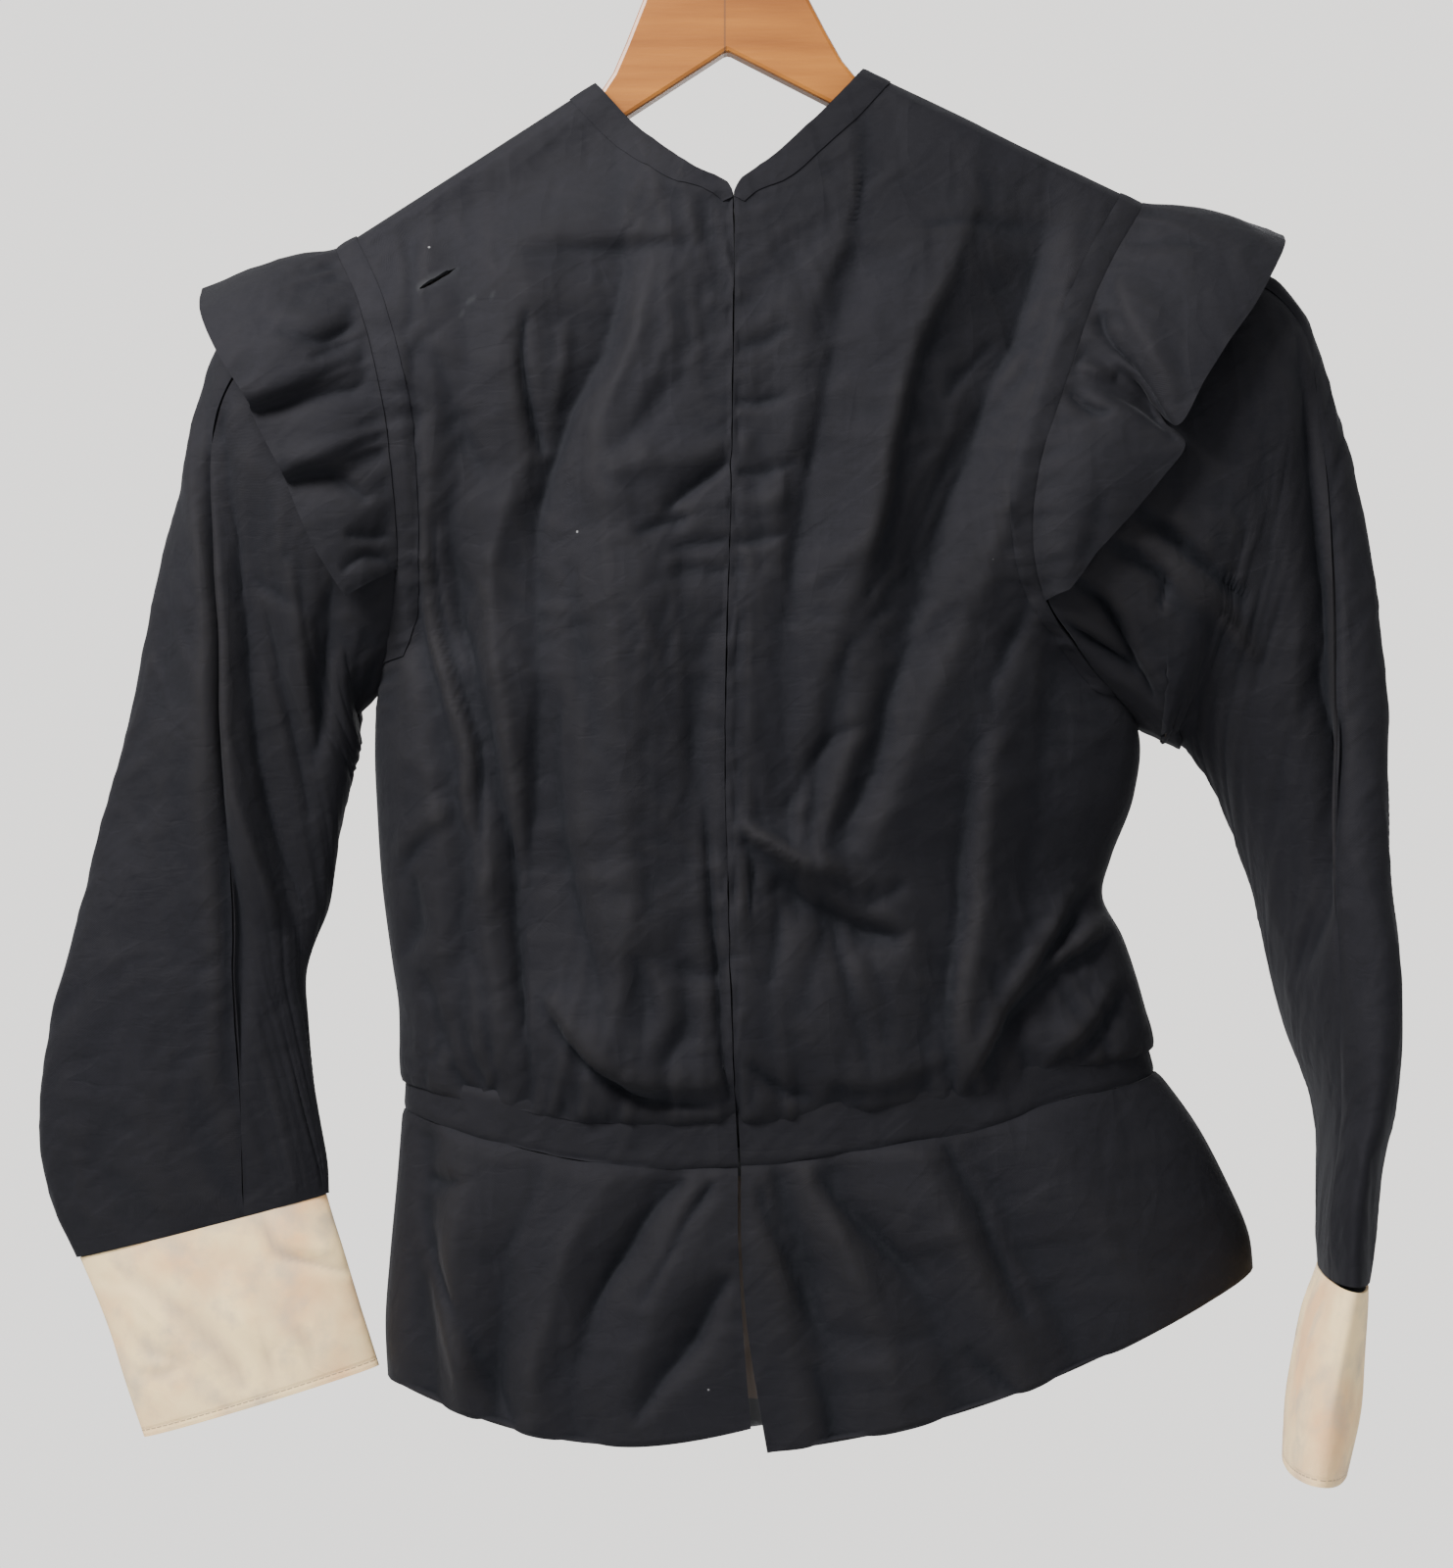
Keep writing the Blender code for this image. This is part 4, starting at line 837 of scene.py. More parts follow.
# %% Long folds of the fronts
# Long folds run the whole way down a panel, in order from its centre to its side. Each is given as x, drop
# and height at a few places, and the cloth between two of them is nearly flat, as in a pleat.
FRONT_LONG_FOLDS = {
    "right": (
        ("closing", ((10, 150, 0), (10, 570, 0))),
        ("centre slope", ((0, 185, 0.3), (0, 215, 0.5), (-5, 250, 0.6), (-14, 300, 1.2), (-12, 350, 0.4),
            (-8, 400, -1.8), (-8, 450, -1.4), (-14, 500, -1.2), (-14, 560, 0))),
        ("centre crest", ((-12, 185, 0.8), (-12, 215, 1.5), (-18, 245, 1.8), (-26, 275, 2.2),
            (-25, 300, 2.4), (-22, 340, 2.4), (-22, 400, 1.4), (-20, 450, 1.2), (-22, 500, 1),
            (-28, 560, 0))),
        ("brown crest", ((-27, 185, 0.5), (-25, 208, 2.4), (-32, 243, 3.4), (-45, 275, 3.6),
            (-46, 297, 4), (-41, 320, 4), (-37, 355, 5), (-37, 395, 5), (-36, 435, 4.6),
            (-34, 475, 4), (-37, 515, 4), (-44, 560, 0.5))),
        ("bust valley", ((-38, 185, -1), (-37, 208, -4), (-45, 243, -7.5), (-57, 274, -9),
            (-65, 296, -9), (-71, 330, -7), (-71, 380, -7), (-77, 425, -7), (-80, 455, -7),
            (-79, 500, -7), (-74, 552, -2))),
        ("panel crest", ((-84, 185, 0.5), (-80, 215, 2.5), (-77, 259, 1.5), (-75, 290, -2),
            (-82, 312, 1), (-90, 335, 2.4), (-87, 380, 2.2), (-83, 425, -1), (-82.5, 455, -5.5),
            (-81, 500, -6), (-76, 552, -1.8))),
        ("inner valley", ((-102, 185, -0.5), (-102, 240, -2), (-104, 280, -2.5), (-109, 316, -4.5),
            (-102, 359, -6.5), (-93, 408, -7), (-88, 435, -7), (-85.5, 460, -7), (-83.5, 500, -6),
            (-78, 552, -2))),
        ("sharp ridge", ((-112, 185, 0), (-116, 240, 0), (-119, 280, 0.5), (-120, 310, 1),
            (-112, 355, 1.4), (-102, 412, 1.4), (-96, 444, 1.2), (-94, 470, 1.4), (-91, 505, 1),
            (-86, 552, 0.5))),
        ("outer valley", ((-122, 185, 0), (-126, 240, -0.5), (-127, 285, -1.5), (-121, 343, -2.5),
            (-111, 408, -2.5), (-103, 446, -2.5), (-103, 475, -2.5), (-102, 515, -2), (-96, 552, -1))),
        ("side crest", ((-130, 185, 0), (-130, 240, 0.5), (-131, 290, 1), (-128, 343, 1.5),
            (-120, 408, 2), (-110, 446, 3), (-111, 490, 2), (-112, 530, 1.5), (-110, 560, 0))),
        ("side", ((-150, 150, 0), (-134, 290, 0), (-143, 400, 0), (-131, 545, 0))),
    ),
    "left": (
        ("closing", ((9, 150, 0), (9, 570, 0))),
        ("first panel", ((30, 170, 0.5), (28, 220, 0.8), (24, 270, 0.6), (18, 320, 0.3), (15, 360, 0),
            (15, 570, 0))),
        ("first crest", ((60, 178, 1), (50, 201, 1.8), (43, 226, 2.2), (38, 261, 2.2), (33, 283, 2.2),
            (28, 303, 2.2), (25, 325, 2), (22, 360, 0.5), (22, 420, 0), (24, 560, 0))),
        ("first hollow", ((66, 178, -0.5), (61, 201, -0.6), (56, 226, -0.6), (50, 261, -0.8),
            (45, 283, -1.6), (39, 303, -3.6), (35, 325, -3.2), (31, 360, -2), (32, 400, -1),
            (34, 440, -2), (36, 480, -1), (38, 560, 0))),
        ("second crest", ((110, 180, 3), (102, 200, 5), (94, 223, 6), (87, 241, 6.4), (80, 270, 6.6),
            (74, 304, 6.6), (64, 334, 6), (55, 352, 3.5), (43, 385, 1.5), (40, 410, 1.5), (38, 440, 1.2),
            (44, 480, 0.5), (52, 560, 0))),
        ("second edge", ((115, 180, 0), (107, 200, 2.5), (99.5, 223, 1.5), (92.5, 241, 1.5),
            (85.5, 270, 1.6), (79, 304, 1.5), (69, 334, 0.5), (60, 358, 0), (54, 390, -2), (48, 412, -3),
            (42, 430, -2.5), (41, 450, -1.5), (50, 480, -1), (66, 520, -2), (66, 560, 0))),
        ("second slope", ((130, 180, -3), (122, 213, -6), (114, 240, -6.4), (103, 275, -6.4),
            (91, 305, -6), (79, 335, -5), (67, 362, 0), (64, 390, 1.5), (61, 405, 1.5), (54, 425, 1.5),
            (48, 442, 1.5), (46, 452, 0.8), (58, 480, 0.5), (76, 520, 0.5), (80, 560, 0))),
        ("third groove", ((143, 180, -4), (136, 213, -10), (129, 230, -11), (119, 255, -11),
            (110, 283, -11), (96, 319, -9), (85, 350, -7), (79, 375, -6), (72, 397, -5.5), (66, 422, -5),
            (57, 441, -4), (54, 452, -2.5), (68, 480, -1), (92, 520, -3), (90, 560, 0))),
        ("third crest", ((156, 180, 0.5), (150, 213, 0.5), (144, 232, 0.8), (137, 257, 1),
            (131, 285, 1.2), (119, 320, 1.5), (107, 350, 1.5), (96, 375, 2.2), (86, 400, 2.5),
            (79, 422, 2.5), (70, 441, 2), (66, 455, 1), (82, 480, -1), (96, 520, -4), (94, 560, 0))),
        ("wide valley", ((162, 180, 0), (152, 260, -0.5), (143, 310, -1), (128, 350, -2.5),
            (113, 385, -2.5), (108, 420, -3), (107, 455, -6), (105, 480, -6.5), (101, 520, -6),
            (98, 556, -1))),
        ("wide crest", ((168, 180, 0), (158, 260, 0.3), (149, 310, 0.4), (136, 350, 1), (121, 385, 1.5),
            (114, 420, 2), (112.5, 455, 4), (110, 480, 4.5), (106, 520, 3.5), (103, 556, 0.5))),
        ("side hollow", ((176, 180, 0), (162, 300, -0.5), (152, 350, -2), (143, 390, -3.5),
            (137, 420, -3.5), (134, 450, -2.5), (132, 480, -2), (124, 520, -4), (118, 556, -1))),
        ("side", ((200, 150, 0), (186, 400, 0), (168, 470, 0), (186, 540, 0))),
    ),
}
print("long folds:", {side: len(lines) for side, lines in FRONT_LONG_FOLDS.items()})

# %% Short folds of the fronts
# name; path as x and drop, running down or to the right; half width left of it or below it; half width
# right of it or above it; rise; 2 for a round profile and less for a sharp one; and where along the path the
# fold is strongest, if that isn't its middle
FRONT_CREASES = (
    ("yoke ridge", ((-82, 191), (-60, 189), (-30, 190), (-4, 189)), 5, 14, 1.6, 2),
    ("yoke step", ((-84, 198), (-44, 197), (-4, 196)), 12, 3, -1.6, 1.8),
    ("bust pinch", ((-78, 222), (-76, 250), (-68, 288)), 2.4, 3.4, -5, 1.4, 0.75),
    ("bust ridge", ((-61, 226), (-60, 250), (-64, 276)), 3, 3, 1.8, 1.6),
    ("armside hollow", ((-118, 232), (-109, 267), (-102, 281), (-90, 300)), 12, 6, -3.4, 1.8),
    ("long dark line", ((-121, 290), (-110, 357), (-98.5, 412), (-97, 440), (-97.5, 463)),
        2.4, 2.4, -4, 1.3),
    ("long lit ridge", ((-125, 290), (-114, 357), (-102.5, 412), (-101, 440)), 2.4, 2.4, 2, 1.6),
    ("second dark line", ((-89, 430), (-84, 480), (-80, 538)), 2.2, 2.4, -3.4, 1.3),
    ("dart line", ((-60, 379), (-65, 419), (-61, 459), (-52, 493), (-45, 530)), 12, 3, -3.6, 1.5),
    ("dart crest", ((-49, 375), (-54, 420), (-52, 455), (-43, 488), (-37, 512)), 5, 12, 2.8, 1.8),
    ("soft stripe", ((-56, 330), (-50, 381), (-48, 410)), 6, 6, -2.4, 2),
    ("centre ridge", ((-42, 297), (-22, 289), (2, 283)), 7, 9, 3.2, 1.8),
    ("centre hollow", ((-21, 312), (-7, 298), (6, 287)), 4, 5, -4.6, 1.7),
    ("centre fold two", ((-32, 323), (-16, 316), (-8, 312)), 4, 4, -3, 1.7),
    ("centre fold three", ((-18, 330), (-8, 326), (8, 324)), 4, 4, -2.6, 1.7),
    ("centre fold four", ((-40, 291), (-26, 269), (-10, 248)), 6, 6, -2.4, 1.9),
    ("centre fold five", ((-26, 344), (-10, 338), (7, 340)), 4, 5, -1.6, 1.9),
    ("closing wear", ((3, 355), (-6, 400), (2, 440)), 8, 6, -2.6, 2),
    ("brown crest", ((-45, 440), (-38, 470), (-28, 486), (-10, 473), (6, 455)), 10, 10, 2.4, 2),
    ("low middle hollow", ((-35, 494), (-30, 512), (-31, 532)), 7, 6, -3, 1.9),
    ("low centre hollow", ((-14, 510), (-13, 528), (-21, 543)), 6, 6, -3, 1.9),
    ("sash crease", ((-18, 500), (-5, 505), (8, 495)), 4, 6, -2.4, 1.8),
    ("low crest", ((-28, 500), (-18, 520), (-27, 540)), 6, 6, 2.2, 2),
    ("blouse crest", ((-70, 512), (-60, 528), (-45, 541), (-24, 548), (10, 547)), 4.5, 13, 7.4, 1.8),
    ("blouse groove", ((-68, 522), (-58, 536), (-42, 550), (-24, 558), (10, 556)), 3.5, 3, -6, 1.8),
    ("side fan one", ((-112, 520), (-108, 546), (-94, 560), (-76, 572)), 4, 4, -3.2, 1.6),
    ("side fan two", ((-107, 518), (-99, 544), (-88, 557)), 3.5, 3.5, -2.6, 1.6),
    ("side fan three", ((-95, 520), (-92, 541), (-86, 556)), 3.5, 3.5, -2.6, 1.6),
    ("side fan crest", ((-101, 500), (-97, 530), (-90, 552)), 3.5, 3.5, 2.2, 1.6),
    ("side wedge", ((-122, 462), (-122, 484), (-130, 500)), 6, 5, -4, 1.8),
    ("side slope", ((-108, 430), (-118, 444), (-130, 456)), 7, 4, 2.6, 1.7),
    ("side notch", ((-112, 440), (-122, 452), (-130, 468)), 4, 5, -3, 1.7),
    ("side low fold", ((-120, 502), (-115, 528), (-120, 546)), 5, 5, -3, 1.8),
    ("closing lap", ((-1, 428), (-2, 460), (0, 500), (2, 535), (6, 556)), 2.6, 3, -5, 1.4),
    # from here on the left front's
    ("tab side", ((14.6, 436), (14.9, 484)), 1.4, 1.4, -2.2, 1.6),
    ("closing tab", ((11.5, 438), (11.5, 484)), 2.2, 2.2, 1.2, 3),
    ("left yoke step", ((88, 186), (126, 186), (163, 187)), 6, 3, -2, 1.7),
    ("armhole tuck", ((118, 236), (108, 250), (100, 262)), 4, 4, -2.6, 1.7),
    ("armhole crest", ((133, 238), (123, 252), (116, 266)), 4, 4, 2.4, 1.8),
    ("closing crease one", ((8, 263), (19, 264), (33, 262)), 3, 3, -2, 1.7),
    ("closing crease two", ((9, 240), (21, 238), (34, 231)), 3, 4, -1.8, 1.8),
    ("closing crease three", ((8, 294), (22, 294), (36, 291)), 3, 4, -2.4, 1.7),
    ("closing crease four", ((9, 326), (21, 323), (33, 320)), 3, 4, -2.4, 1.7),
    ("closing crest", ((10, 309), (22, 307), (33, 303)), 5, 5, 1.8, 1.9),
    ("tuck crest", ((12, 438), (26, 449), (40, 457), (56, 460), (68, 468)), 6, 9, 7.5, 1.8, 0.4),
    ("tuck lip", ((14, 440), (25, 449), (38, 458)), 2.2, 3, 2.4, 1.4),
    ("tuck lip shadow", ((18, 436), (30, 446), (42, 455)), 2, 3, -1.4, 1.5),
    ("tuck hollow", ((26, 462), (42, 475), (58, 481), (72, 484), (86, 485)), 13, 7, -9.5, 1.8),
    ("tuck tail", ((66, 474), (76, 469), (84, 464)), 4, 4, -1.8, 1.8),
    ("branch fold", ((66, 399), (48, 407), (38, 424), (31, 436)), 3, 5, -2.8, 1.5),
    ("closing fold", ((25, 462), (28, 489), (24, 512)), 5, 4, -2.6, 1.8),
    ("low stripe", ((46, 486), (42, 509), (35, 525)), 6, 6, -2, 2),
    ("low stripe two", ((68, 494), (75, 514), (74, 534)), 6, 6, -2.4, 2),
    ("side crest", ((152, 466), (137, 493), (123, 515), (111, 540), (104, 556)), 5, 4, 5, 1.5),
    ("side hollow", ((162, 466), (150, 485), (137, 503)), 4, 5, -4.6, 1.6),
    ("side crest two", ((172, 476), (155, 490), (141, 500)), 4, 4, 3.4, 1.6),
    ("side dark fold", ((173, 486), (148, 502), (128, 520), (114, 546)), 4, 12, -5.5, 1.8),
    ("side streak", ((172, 504), (158, 524), (150, 534), (138, 550)), 5, 4, 3.4, 1.6),
    ("side dark fold two", ((178, 508), (164, 530), (150, 548)), 4, 4, -3.4, 1.7),
    ("left waist crease", ((12, 540), (21, 547), (30, 554), (44, 557)), 3, 4, -3.6, 1.7),
    ("left blouse crest", ((44, 548), (70, 548), (100, 541)), 4, 9, 2.6, 1.8),
)
print("short folds:", len(FRONT_CREASES))

# %% [markdown]
# ## The two fronts
#
# Each half of the body is a patch between the centre and the side, with rows on smooth curves through the
# sections. Cloth simulation could drape it, but wouldn't put the folds where this bodice has them. The first
# columns are as wide as the neck band and the last ones as wide as the armhole band, because those bands are
# laid on the same points later. Small folds fan up from the waist seam, the hooks of the closing pull short
# puckers, and the armhole's seam has ridges beside it.


# %% The flat panel
BACK_SHARE = 0.85  # depth of the back compared with the front
NECK_BAND, ARMHOLE_BAND = 13.0, 11.0  # widths of the columns that carry the bands
EDGE_COLUMN = 4.0
DEPTH_START = 2.4  # how long the chest stays flat before it rounds to the side
SIDE_ROUND, ARMHOLE_ROUND, DEEP_EDGE = 0.55, 1.0, 20.0
SAG_LEAN = 0.3


def neck_column(place):
    """Width of the neck band's columns, which taper into the closing below the notch."""
    share = min(1.0, max(0.0, place - NOTCH + 0.5))
    return EDGE_COLUMN + (NECK_BAND - EDGE_COLUMN) * share


def flat_panel(sections, places, counts, side, first_column):
    """Grid of a front or a back half without its folds. side is -1 for the front and 1 for the back."""
    grid = []
    depth_share = 1.0 if side < 0 else BACK_SHARE
    for place, section in zip(places, through(sections, places)):
        inner, outer, sag = section[:3], section[3:6], section[6]
        width = math.hypot(*(outer - inner)[:2])
        first = first_column(place) if first_column else EDGE_COLUMN
        stops = (0.0, first, width - ARMHOLE_BAND, width)
        spans = [np.linspace(a, b, n + 1)[1:] for a, b, n in zip(stops[:-1], stops[1:], counts)]
        t = np.concatenate([[0.0], *spans]) / width
        flat = inner[:2] + t[:, None] * (outer - inner)[:2]
        drop = flat[:, 1] + sag * np.sin(math.pi * t) * (1 - SAG_LEAN * t)
        power = SIDE_ROUND + (ARMHOLE_ROUND - SIDE_ROUND) * min(1.0, max(0.0, outer[2]) / DEEP_EDGE)
        depth = outer[2] + (inner[2] - outer[2]) * np.clip(1 - t**DEPTH_START, 0, 1) ** power
        row = [flat[:, 0], side * (depth * depth_share + SEAM / 2), -drop]
        grid.append(np.stack(row, axis=1))
    return np.array(grid)


print("a row of the right front:", np.round(FRONT_RIGHT[6], 1), "mm")

# %% Gathers and puckers
GATHERS = ((3.4, 20.0), (0.9, 80.0))  # height at the waist seam, and how far above it that dies out
PUCKER_HEIGHT, PUCKER_REACH = 1.8, 13.0  # beside the closing
RIDGE_HEIGHT, RIDGE_REACH = 2.0, 9.0  # beside the armhole
ARMHOLE_FOOT = 400.0  # drop below which the side seam has no ridges


def waist_gathers(x, drop, seam_drop, seed):
    """Small folds that start in the waist seam and die out above it."""
    above = np.maximum(seam_drop - drop, 0)
    fans = ridged(x * (1 + above / 260), drop / 7, 10.0, seed) + 0.5 * ridged(x, drop / 5, 6.0, seed + 1)
    return sum(high * fans * np.exp(-above / reach) for high, reach in GATHERS)


def closing_puckers(from_closing, drop, seed):
    """Short uneven ripples that the row of hooks pulls into the cloth beside the closing."""
    ripples = ridged(drop, from_closing / 5, 12.0, seed) + 0.5 * ridged(drop, from_closing / 3, 6.0, seed + 1)
    return PUCKER_HEIGHT * ripples * np.exp(-from_closing / PUCKER_REACH) * np.clip(from_closing / 2, 0.15, 1)


def armhole_ridges(grid, fade, seed):
    """Small ridges beside the armhole's seam."""
    from_side = np.linalg.norm(grid - grid[:, -1:], axis=2)
    beside = np.exp(-(((from_side - RIDGE_REACH) / RIDGE_REACH) ** 2)) * (-grid[:, -1:, 2] < ARMHOLE_FOOT)
    return RIDGE_HEIGHT * ridged(-grid[..., 2], from_side / 3.5, 9.0, seed) * beside * fade


def wavy(x):
    """How far the waist seam wanders up and down."""
    return 1.5 * lattice_noise(x, 0 * x, 36, 131) + 0.6 * lattice_noise(x, 0 * x, 14, 132)


print("the waist seam wanders by", np.round(wavy(np.array([-100.0, 0.0, 100.0])), 1), "mm")

# %% The folded panel
SEAM_PULL, SEAM_PULL_WIDTH = 0.7, 1.6  # stitches pull the cloth in


def panel(
    sections, places, counts, side, folds, creases, seed, first_column=None, rough=1.0, seam_rows=(0,)
):
    """Grid of a front or a back half with its folds, and its crests."""
    grid = flat_panel(sections, places, counts, side, first_column)
    rows, count = grid.shape[:2]
    from_seam = np.min([np.abs(grid[..., 2] - grid[row, :, 2]) for row in seam_rows], axis=0)
    grid[..., 2] -= wavy(grid[..., 0]) * np.exp(-from_seam / 25)
    u, v = np.meshgrid(np.linspace(0, 1, count), np.linspace(0, 1, rows))
    at_top = np.clip((1 - v) / 0.08, 0, 1)
    edge = np.clip((1 - u) / 0.09, 0, 1) * np.clip(v / 0.012, 0, 1) * at_top
    height = crease_heights(grid, creases)
    flow = grid[..., 0]
    if folds:
        long_height, between = long_fold_heights(grid, folds)
        height += softened(long_height, 1)
        flow = 15.0 * between
    if first_column:
        height += waist_gathers(grid[..., 0], -grid[..., 2], -grid[:1, :, 2], seed + 7)
        if side < 0:
            height += closing_puckers(np.abs(grid[..., 0] - grid[:, :1, 0]), -grid[..., 2], seed + 8)
    height += rough * rumple(flow, -grid[..., 2], seed)
    height *= edge
    if first_column:
        height += armhole_ridges(grid, at_top, seed + 12)
    for row in seam_rows:
        off_seam = np.abs(grid[..., 2] - grid[row, :, 2]) / SEAM_PULL_WIDTH
        height -= SEAM_PULL * np.exp(-(off_seam**2))
    return grid + normals(grid, (0, side, 0)) * height[..., None], crests(height)


print("the seams are pulled in by", SEAM_PULL, "mm")

# %% [markdown]
# ## A small rip
#
# Near the right armhole the cotton is torn over about 17 mm, and pale threads show on its upper lip. A rip
# could be painted on, but light would still fall on it as on whole cloth. So the cells along it are left
# out, the points beside it move to its edges, and its upper lip curls out a little. The points near it also
# carry a few specks of lint.

# %% The rip
TEAR = ((-121.5, 216.5), (-107.0, 207.5))  # x and drop of its ends
TEAR_OPEN, TEAR_CELLS = 0.9, 1.4  # half its width, and how near a cell is when it is left out
UPPER_LIP, LOWER_LIP = -1.4, 0.6  # how far each lip curls, outwards below 0
FRAYED_UPPER, FRAYED_LOWER, LINT_SHARE = 0.08, 0.03, 0.05
LINT_PLACES = ((-97.8, 219.8), (-89.6, 218.2), (-103.9, 226.0), (-101.0, 222.0))


def torn(grid):
    """A small rip: the grid with the rip's lips, the cells that it leaves out, and where threads fray."""
    start, end = (np.array(place) for place in TEAR)
    step = end - start
    length = np.linalg.norm(step)
    aside = np.array([-step[1], step[0]]) / length
    places = np.stack([grid[..., 0], -grid[..., 2]], axis=-1)
    middles = (places[:-1, :-1] + places[1:, :-1] + places[:-1, 1:] + places[1:, 1:]) / 4
    share, away = ((middles - start) @ step) / length**2, (middles - start) @ aside
    ripped = (share > 0) & (share < 1) & (np.abs(away) < TEAR_CELLS)
    lips = np.zeros(grid.shape[:2], bool)
    corners = (slice(None, -1), slice(1, None))
    for rows, columns in [(rows, columns) for columns in corners for rows in corners]:
        lips[rows, columns] |= ripped
    share, away = ((places - start) @ step) / length**2, (places - start) @ aside
    life = np.sin(math.pi * np.clip(share, 0.02, 0.98)) ** 0.6
    wanted = np.sign(away) * TEAR_OPEN * life * (0.9 + 0.15 * np.sin(9 * share))
    moved = places + (np.where(lips, wanted - away, 0))[..., None] * aside
    upper = lips & (away < 0)
    curled = np.where(upper, UPPER_LIP * life, np.where(lips, LOWER_LIP * life, 0))
    ripped_grid = np.stack([moved[..., 0], grid[..., 1] + curled, -moved[..., 1]], axis=-1)
    frayed = np.where(upper, FRAYED_UPPER * (1.1 - share), np.where(lips, FRAYED_LOWER, 0.0))
    for place in LINT_PLACES:
        off = np.linalg.norm(places - place, axis=-1)
        frayed[np.unravel_index(off.argmin(), off.shape)] = LINT_SHARE
    return ripped_grid, ripped, frayed


print("the rip is", round(math.dist(*TEAR), 1), "mm long")

# %% Fronts
FRONT_COUNTS = (6, 70, 6)  # columns in the neck band, the panel and the armhole band
CLOSER = 0.28  # how far each front's closing edge reaches over the gap that its solid leaves

front_places = even_places(FRONT_RIGHT, SPACING)
fronts = {}
for name, sections, seed, reach in (("right", FRONT_RIGHT, 11, CLOSER), ("left", FRONT_LEFT, 23, -CLOSER)):
    folds, sections = FRONT_LONG_FOLDS[name], np.array(sections)
    sections[:NOTCH, 0] += reach
    fronts[name] = panel(sections, front_places, FRONT_COUNTS, -1, folds, FRONT_CREASES, seed, neck_column)
    grid, crest = fronts[name]
    grid, ripped, frayed = torn(grid) if name == "right" else (grid, None, None)
    sheet(f"front_{name}", grid, (0, -1, 0), crest, missing=ripped, frayed=frayed)

# %% [markdown]
# ## The back
#
# The back is one piece from shoulder to waist. Its halves come from the fronts' sections, a little
# shallower, and with their own neckline. It could be modelled on its own, but then its sides and shoulders
# would have to be fitted to the fronts' by hand. Its folds are like those in front.

# %% Neckline and long folds of the back
# x, drop and depth, from the foot of the neck up
BACK_NECK = (
    (10, 170, 27),
    (-15, 163, 24),
    (-33, 148, 18),
    (-45.5, 128.5, 12),
    (-48, 125, 0),
)
BACK_LONG_FOLDS = {
    "right": (
        ("middle", ((11, 150, 0), (11, 280, -1.5), (12, 400, -3), (12, 560, -1))),
        ("middle crest", ((-14, 200, 0.5), (-12, 300, 1.2), (-10, 420, 2), (-12, 560, 0.5))),
        ("waist valley", ((-34, 200, 0), (-36, 300, -1.5), (-34, 420, -3.2), (-32, 500, -3.6),
            (-34, 560, -1))),
        ("waist crest", ((-52, 200, 0.4), (-54, 300, 2), (-50, 420, 3), (-46, 500, 3), (-48, 560, 0.5))),
        ("shoulder valley", ((-78, 190, -1), (-72, 240, -4.5), (-66, 310, -5), (-64, 380, -4),
            (-62, 460, -4.5), (-58, 560, -1))),
        ("shoulder crest", ((-100, 190, 0.3), (-96, 260, 1.6), (-88, 340, 3), (-82, 430, 3.6),
            (-76, 520, 3), (-76, 560, 0.5))),
        ("side valley", ((-122, 200, 0), (-118, 300, -3), (-108, 380, -5), (-98, 460, -5),
            (-94, 560, -1))),
        ("side crest", ((-130, 200, 0), (-128, 300, 1), (-122, 380, 2.4), (-114, 460, 3),
            (-108, 560, 0.4))),
        ("side", ((-150, 150, 0), (-134, 290, 0), (-143, 400, 0), (-131, 545, 0))),
    ),
    "left": (
        ("middle", ((11, 150, 0), (11, 280, -1.5), (12, 400, -3), (12, 560, -1))),
        ("middle crest", ((36, 200, 0.6), (34, 300, 1.6), (30, 420, 2.2), (30, 560, 0.5))),
        ("waist valley", ((60, 200, -0.4), (58, 300, -2), (52, 420, -3.4), (48, 500, -3.6),
            (50, 560, -1))),
        ("waist crest", ((84, 200, 1), (78, 300, 2.2), (70, 420, 3), (64, 500, 3), (64, 560, 0.5))),
        ("shoulder valley", ((116, 190, -1), (108, 240, -4), (96, 310, -5), (88, 380, -4.4),
            (80, 460, -4.5), (76, 560, -1))),
        ("shoulder crest", ((134, 190, 0.3), (128, 260, 1.6), (116, 340, 3), (106, 430, 3.8),
            (98, 520, 3), (96, 560, 0.5))),
        ("side valley", ((160, 200, 0), (146, 300, -2.6), (134, 380, -4.6), (124, 460, -5),
            (118, 560, -1))),
        ("side crest", ((170, 200, 0), (158, 300, 1), (150, 380, 2.4), (142, 460, 3.2), (136, 560, 0.4))),
        ("side", ((200, 150, 0), (186, 400, 0), (168, 470, 0), (186, 540, 0))),
    ),
}
print("long folds behind:", {side: len(lines) for side, lines in BACK_LONG_FOLDS.items()})

# %% Short folds of the back
BACK_CREASES = (
    ("yoke step", ((-70, 198), (10, 206), (100, 190)), 9, 3, -1.8, 1.8),
    ("waist gather one", ((-30, 486), (-34, 530), (-32, 562)), 4, 4, -3, 1.4, 0.8),
    ("waist gather two", ((34, 480), (38, 528), (34, 562)), 4, 4, -3, 1.4, 0.8),
    ("waist gather three", ((62, 496), (58, 536), (60, 562)), 4, 4, -2.6, 1.4, 0.8),
    ("waist gather four", ((-76, 494), (-70, 532), (-72, 562)), 4, 4, -2.6, 1.4, 0.8),
)
print("short folds behind:", len(BACK_CREASES))


# %% Sections of the back
TILT = math.radians(3.0)  # the bodice hangs a little askew


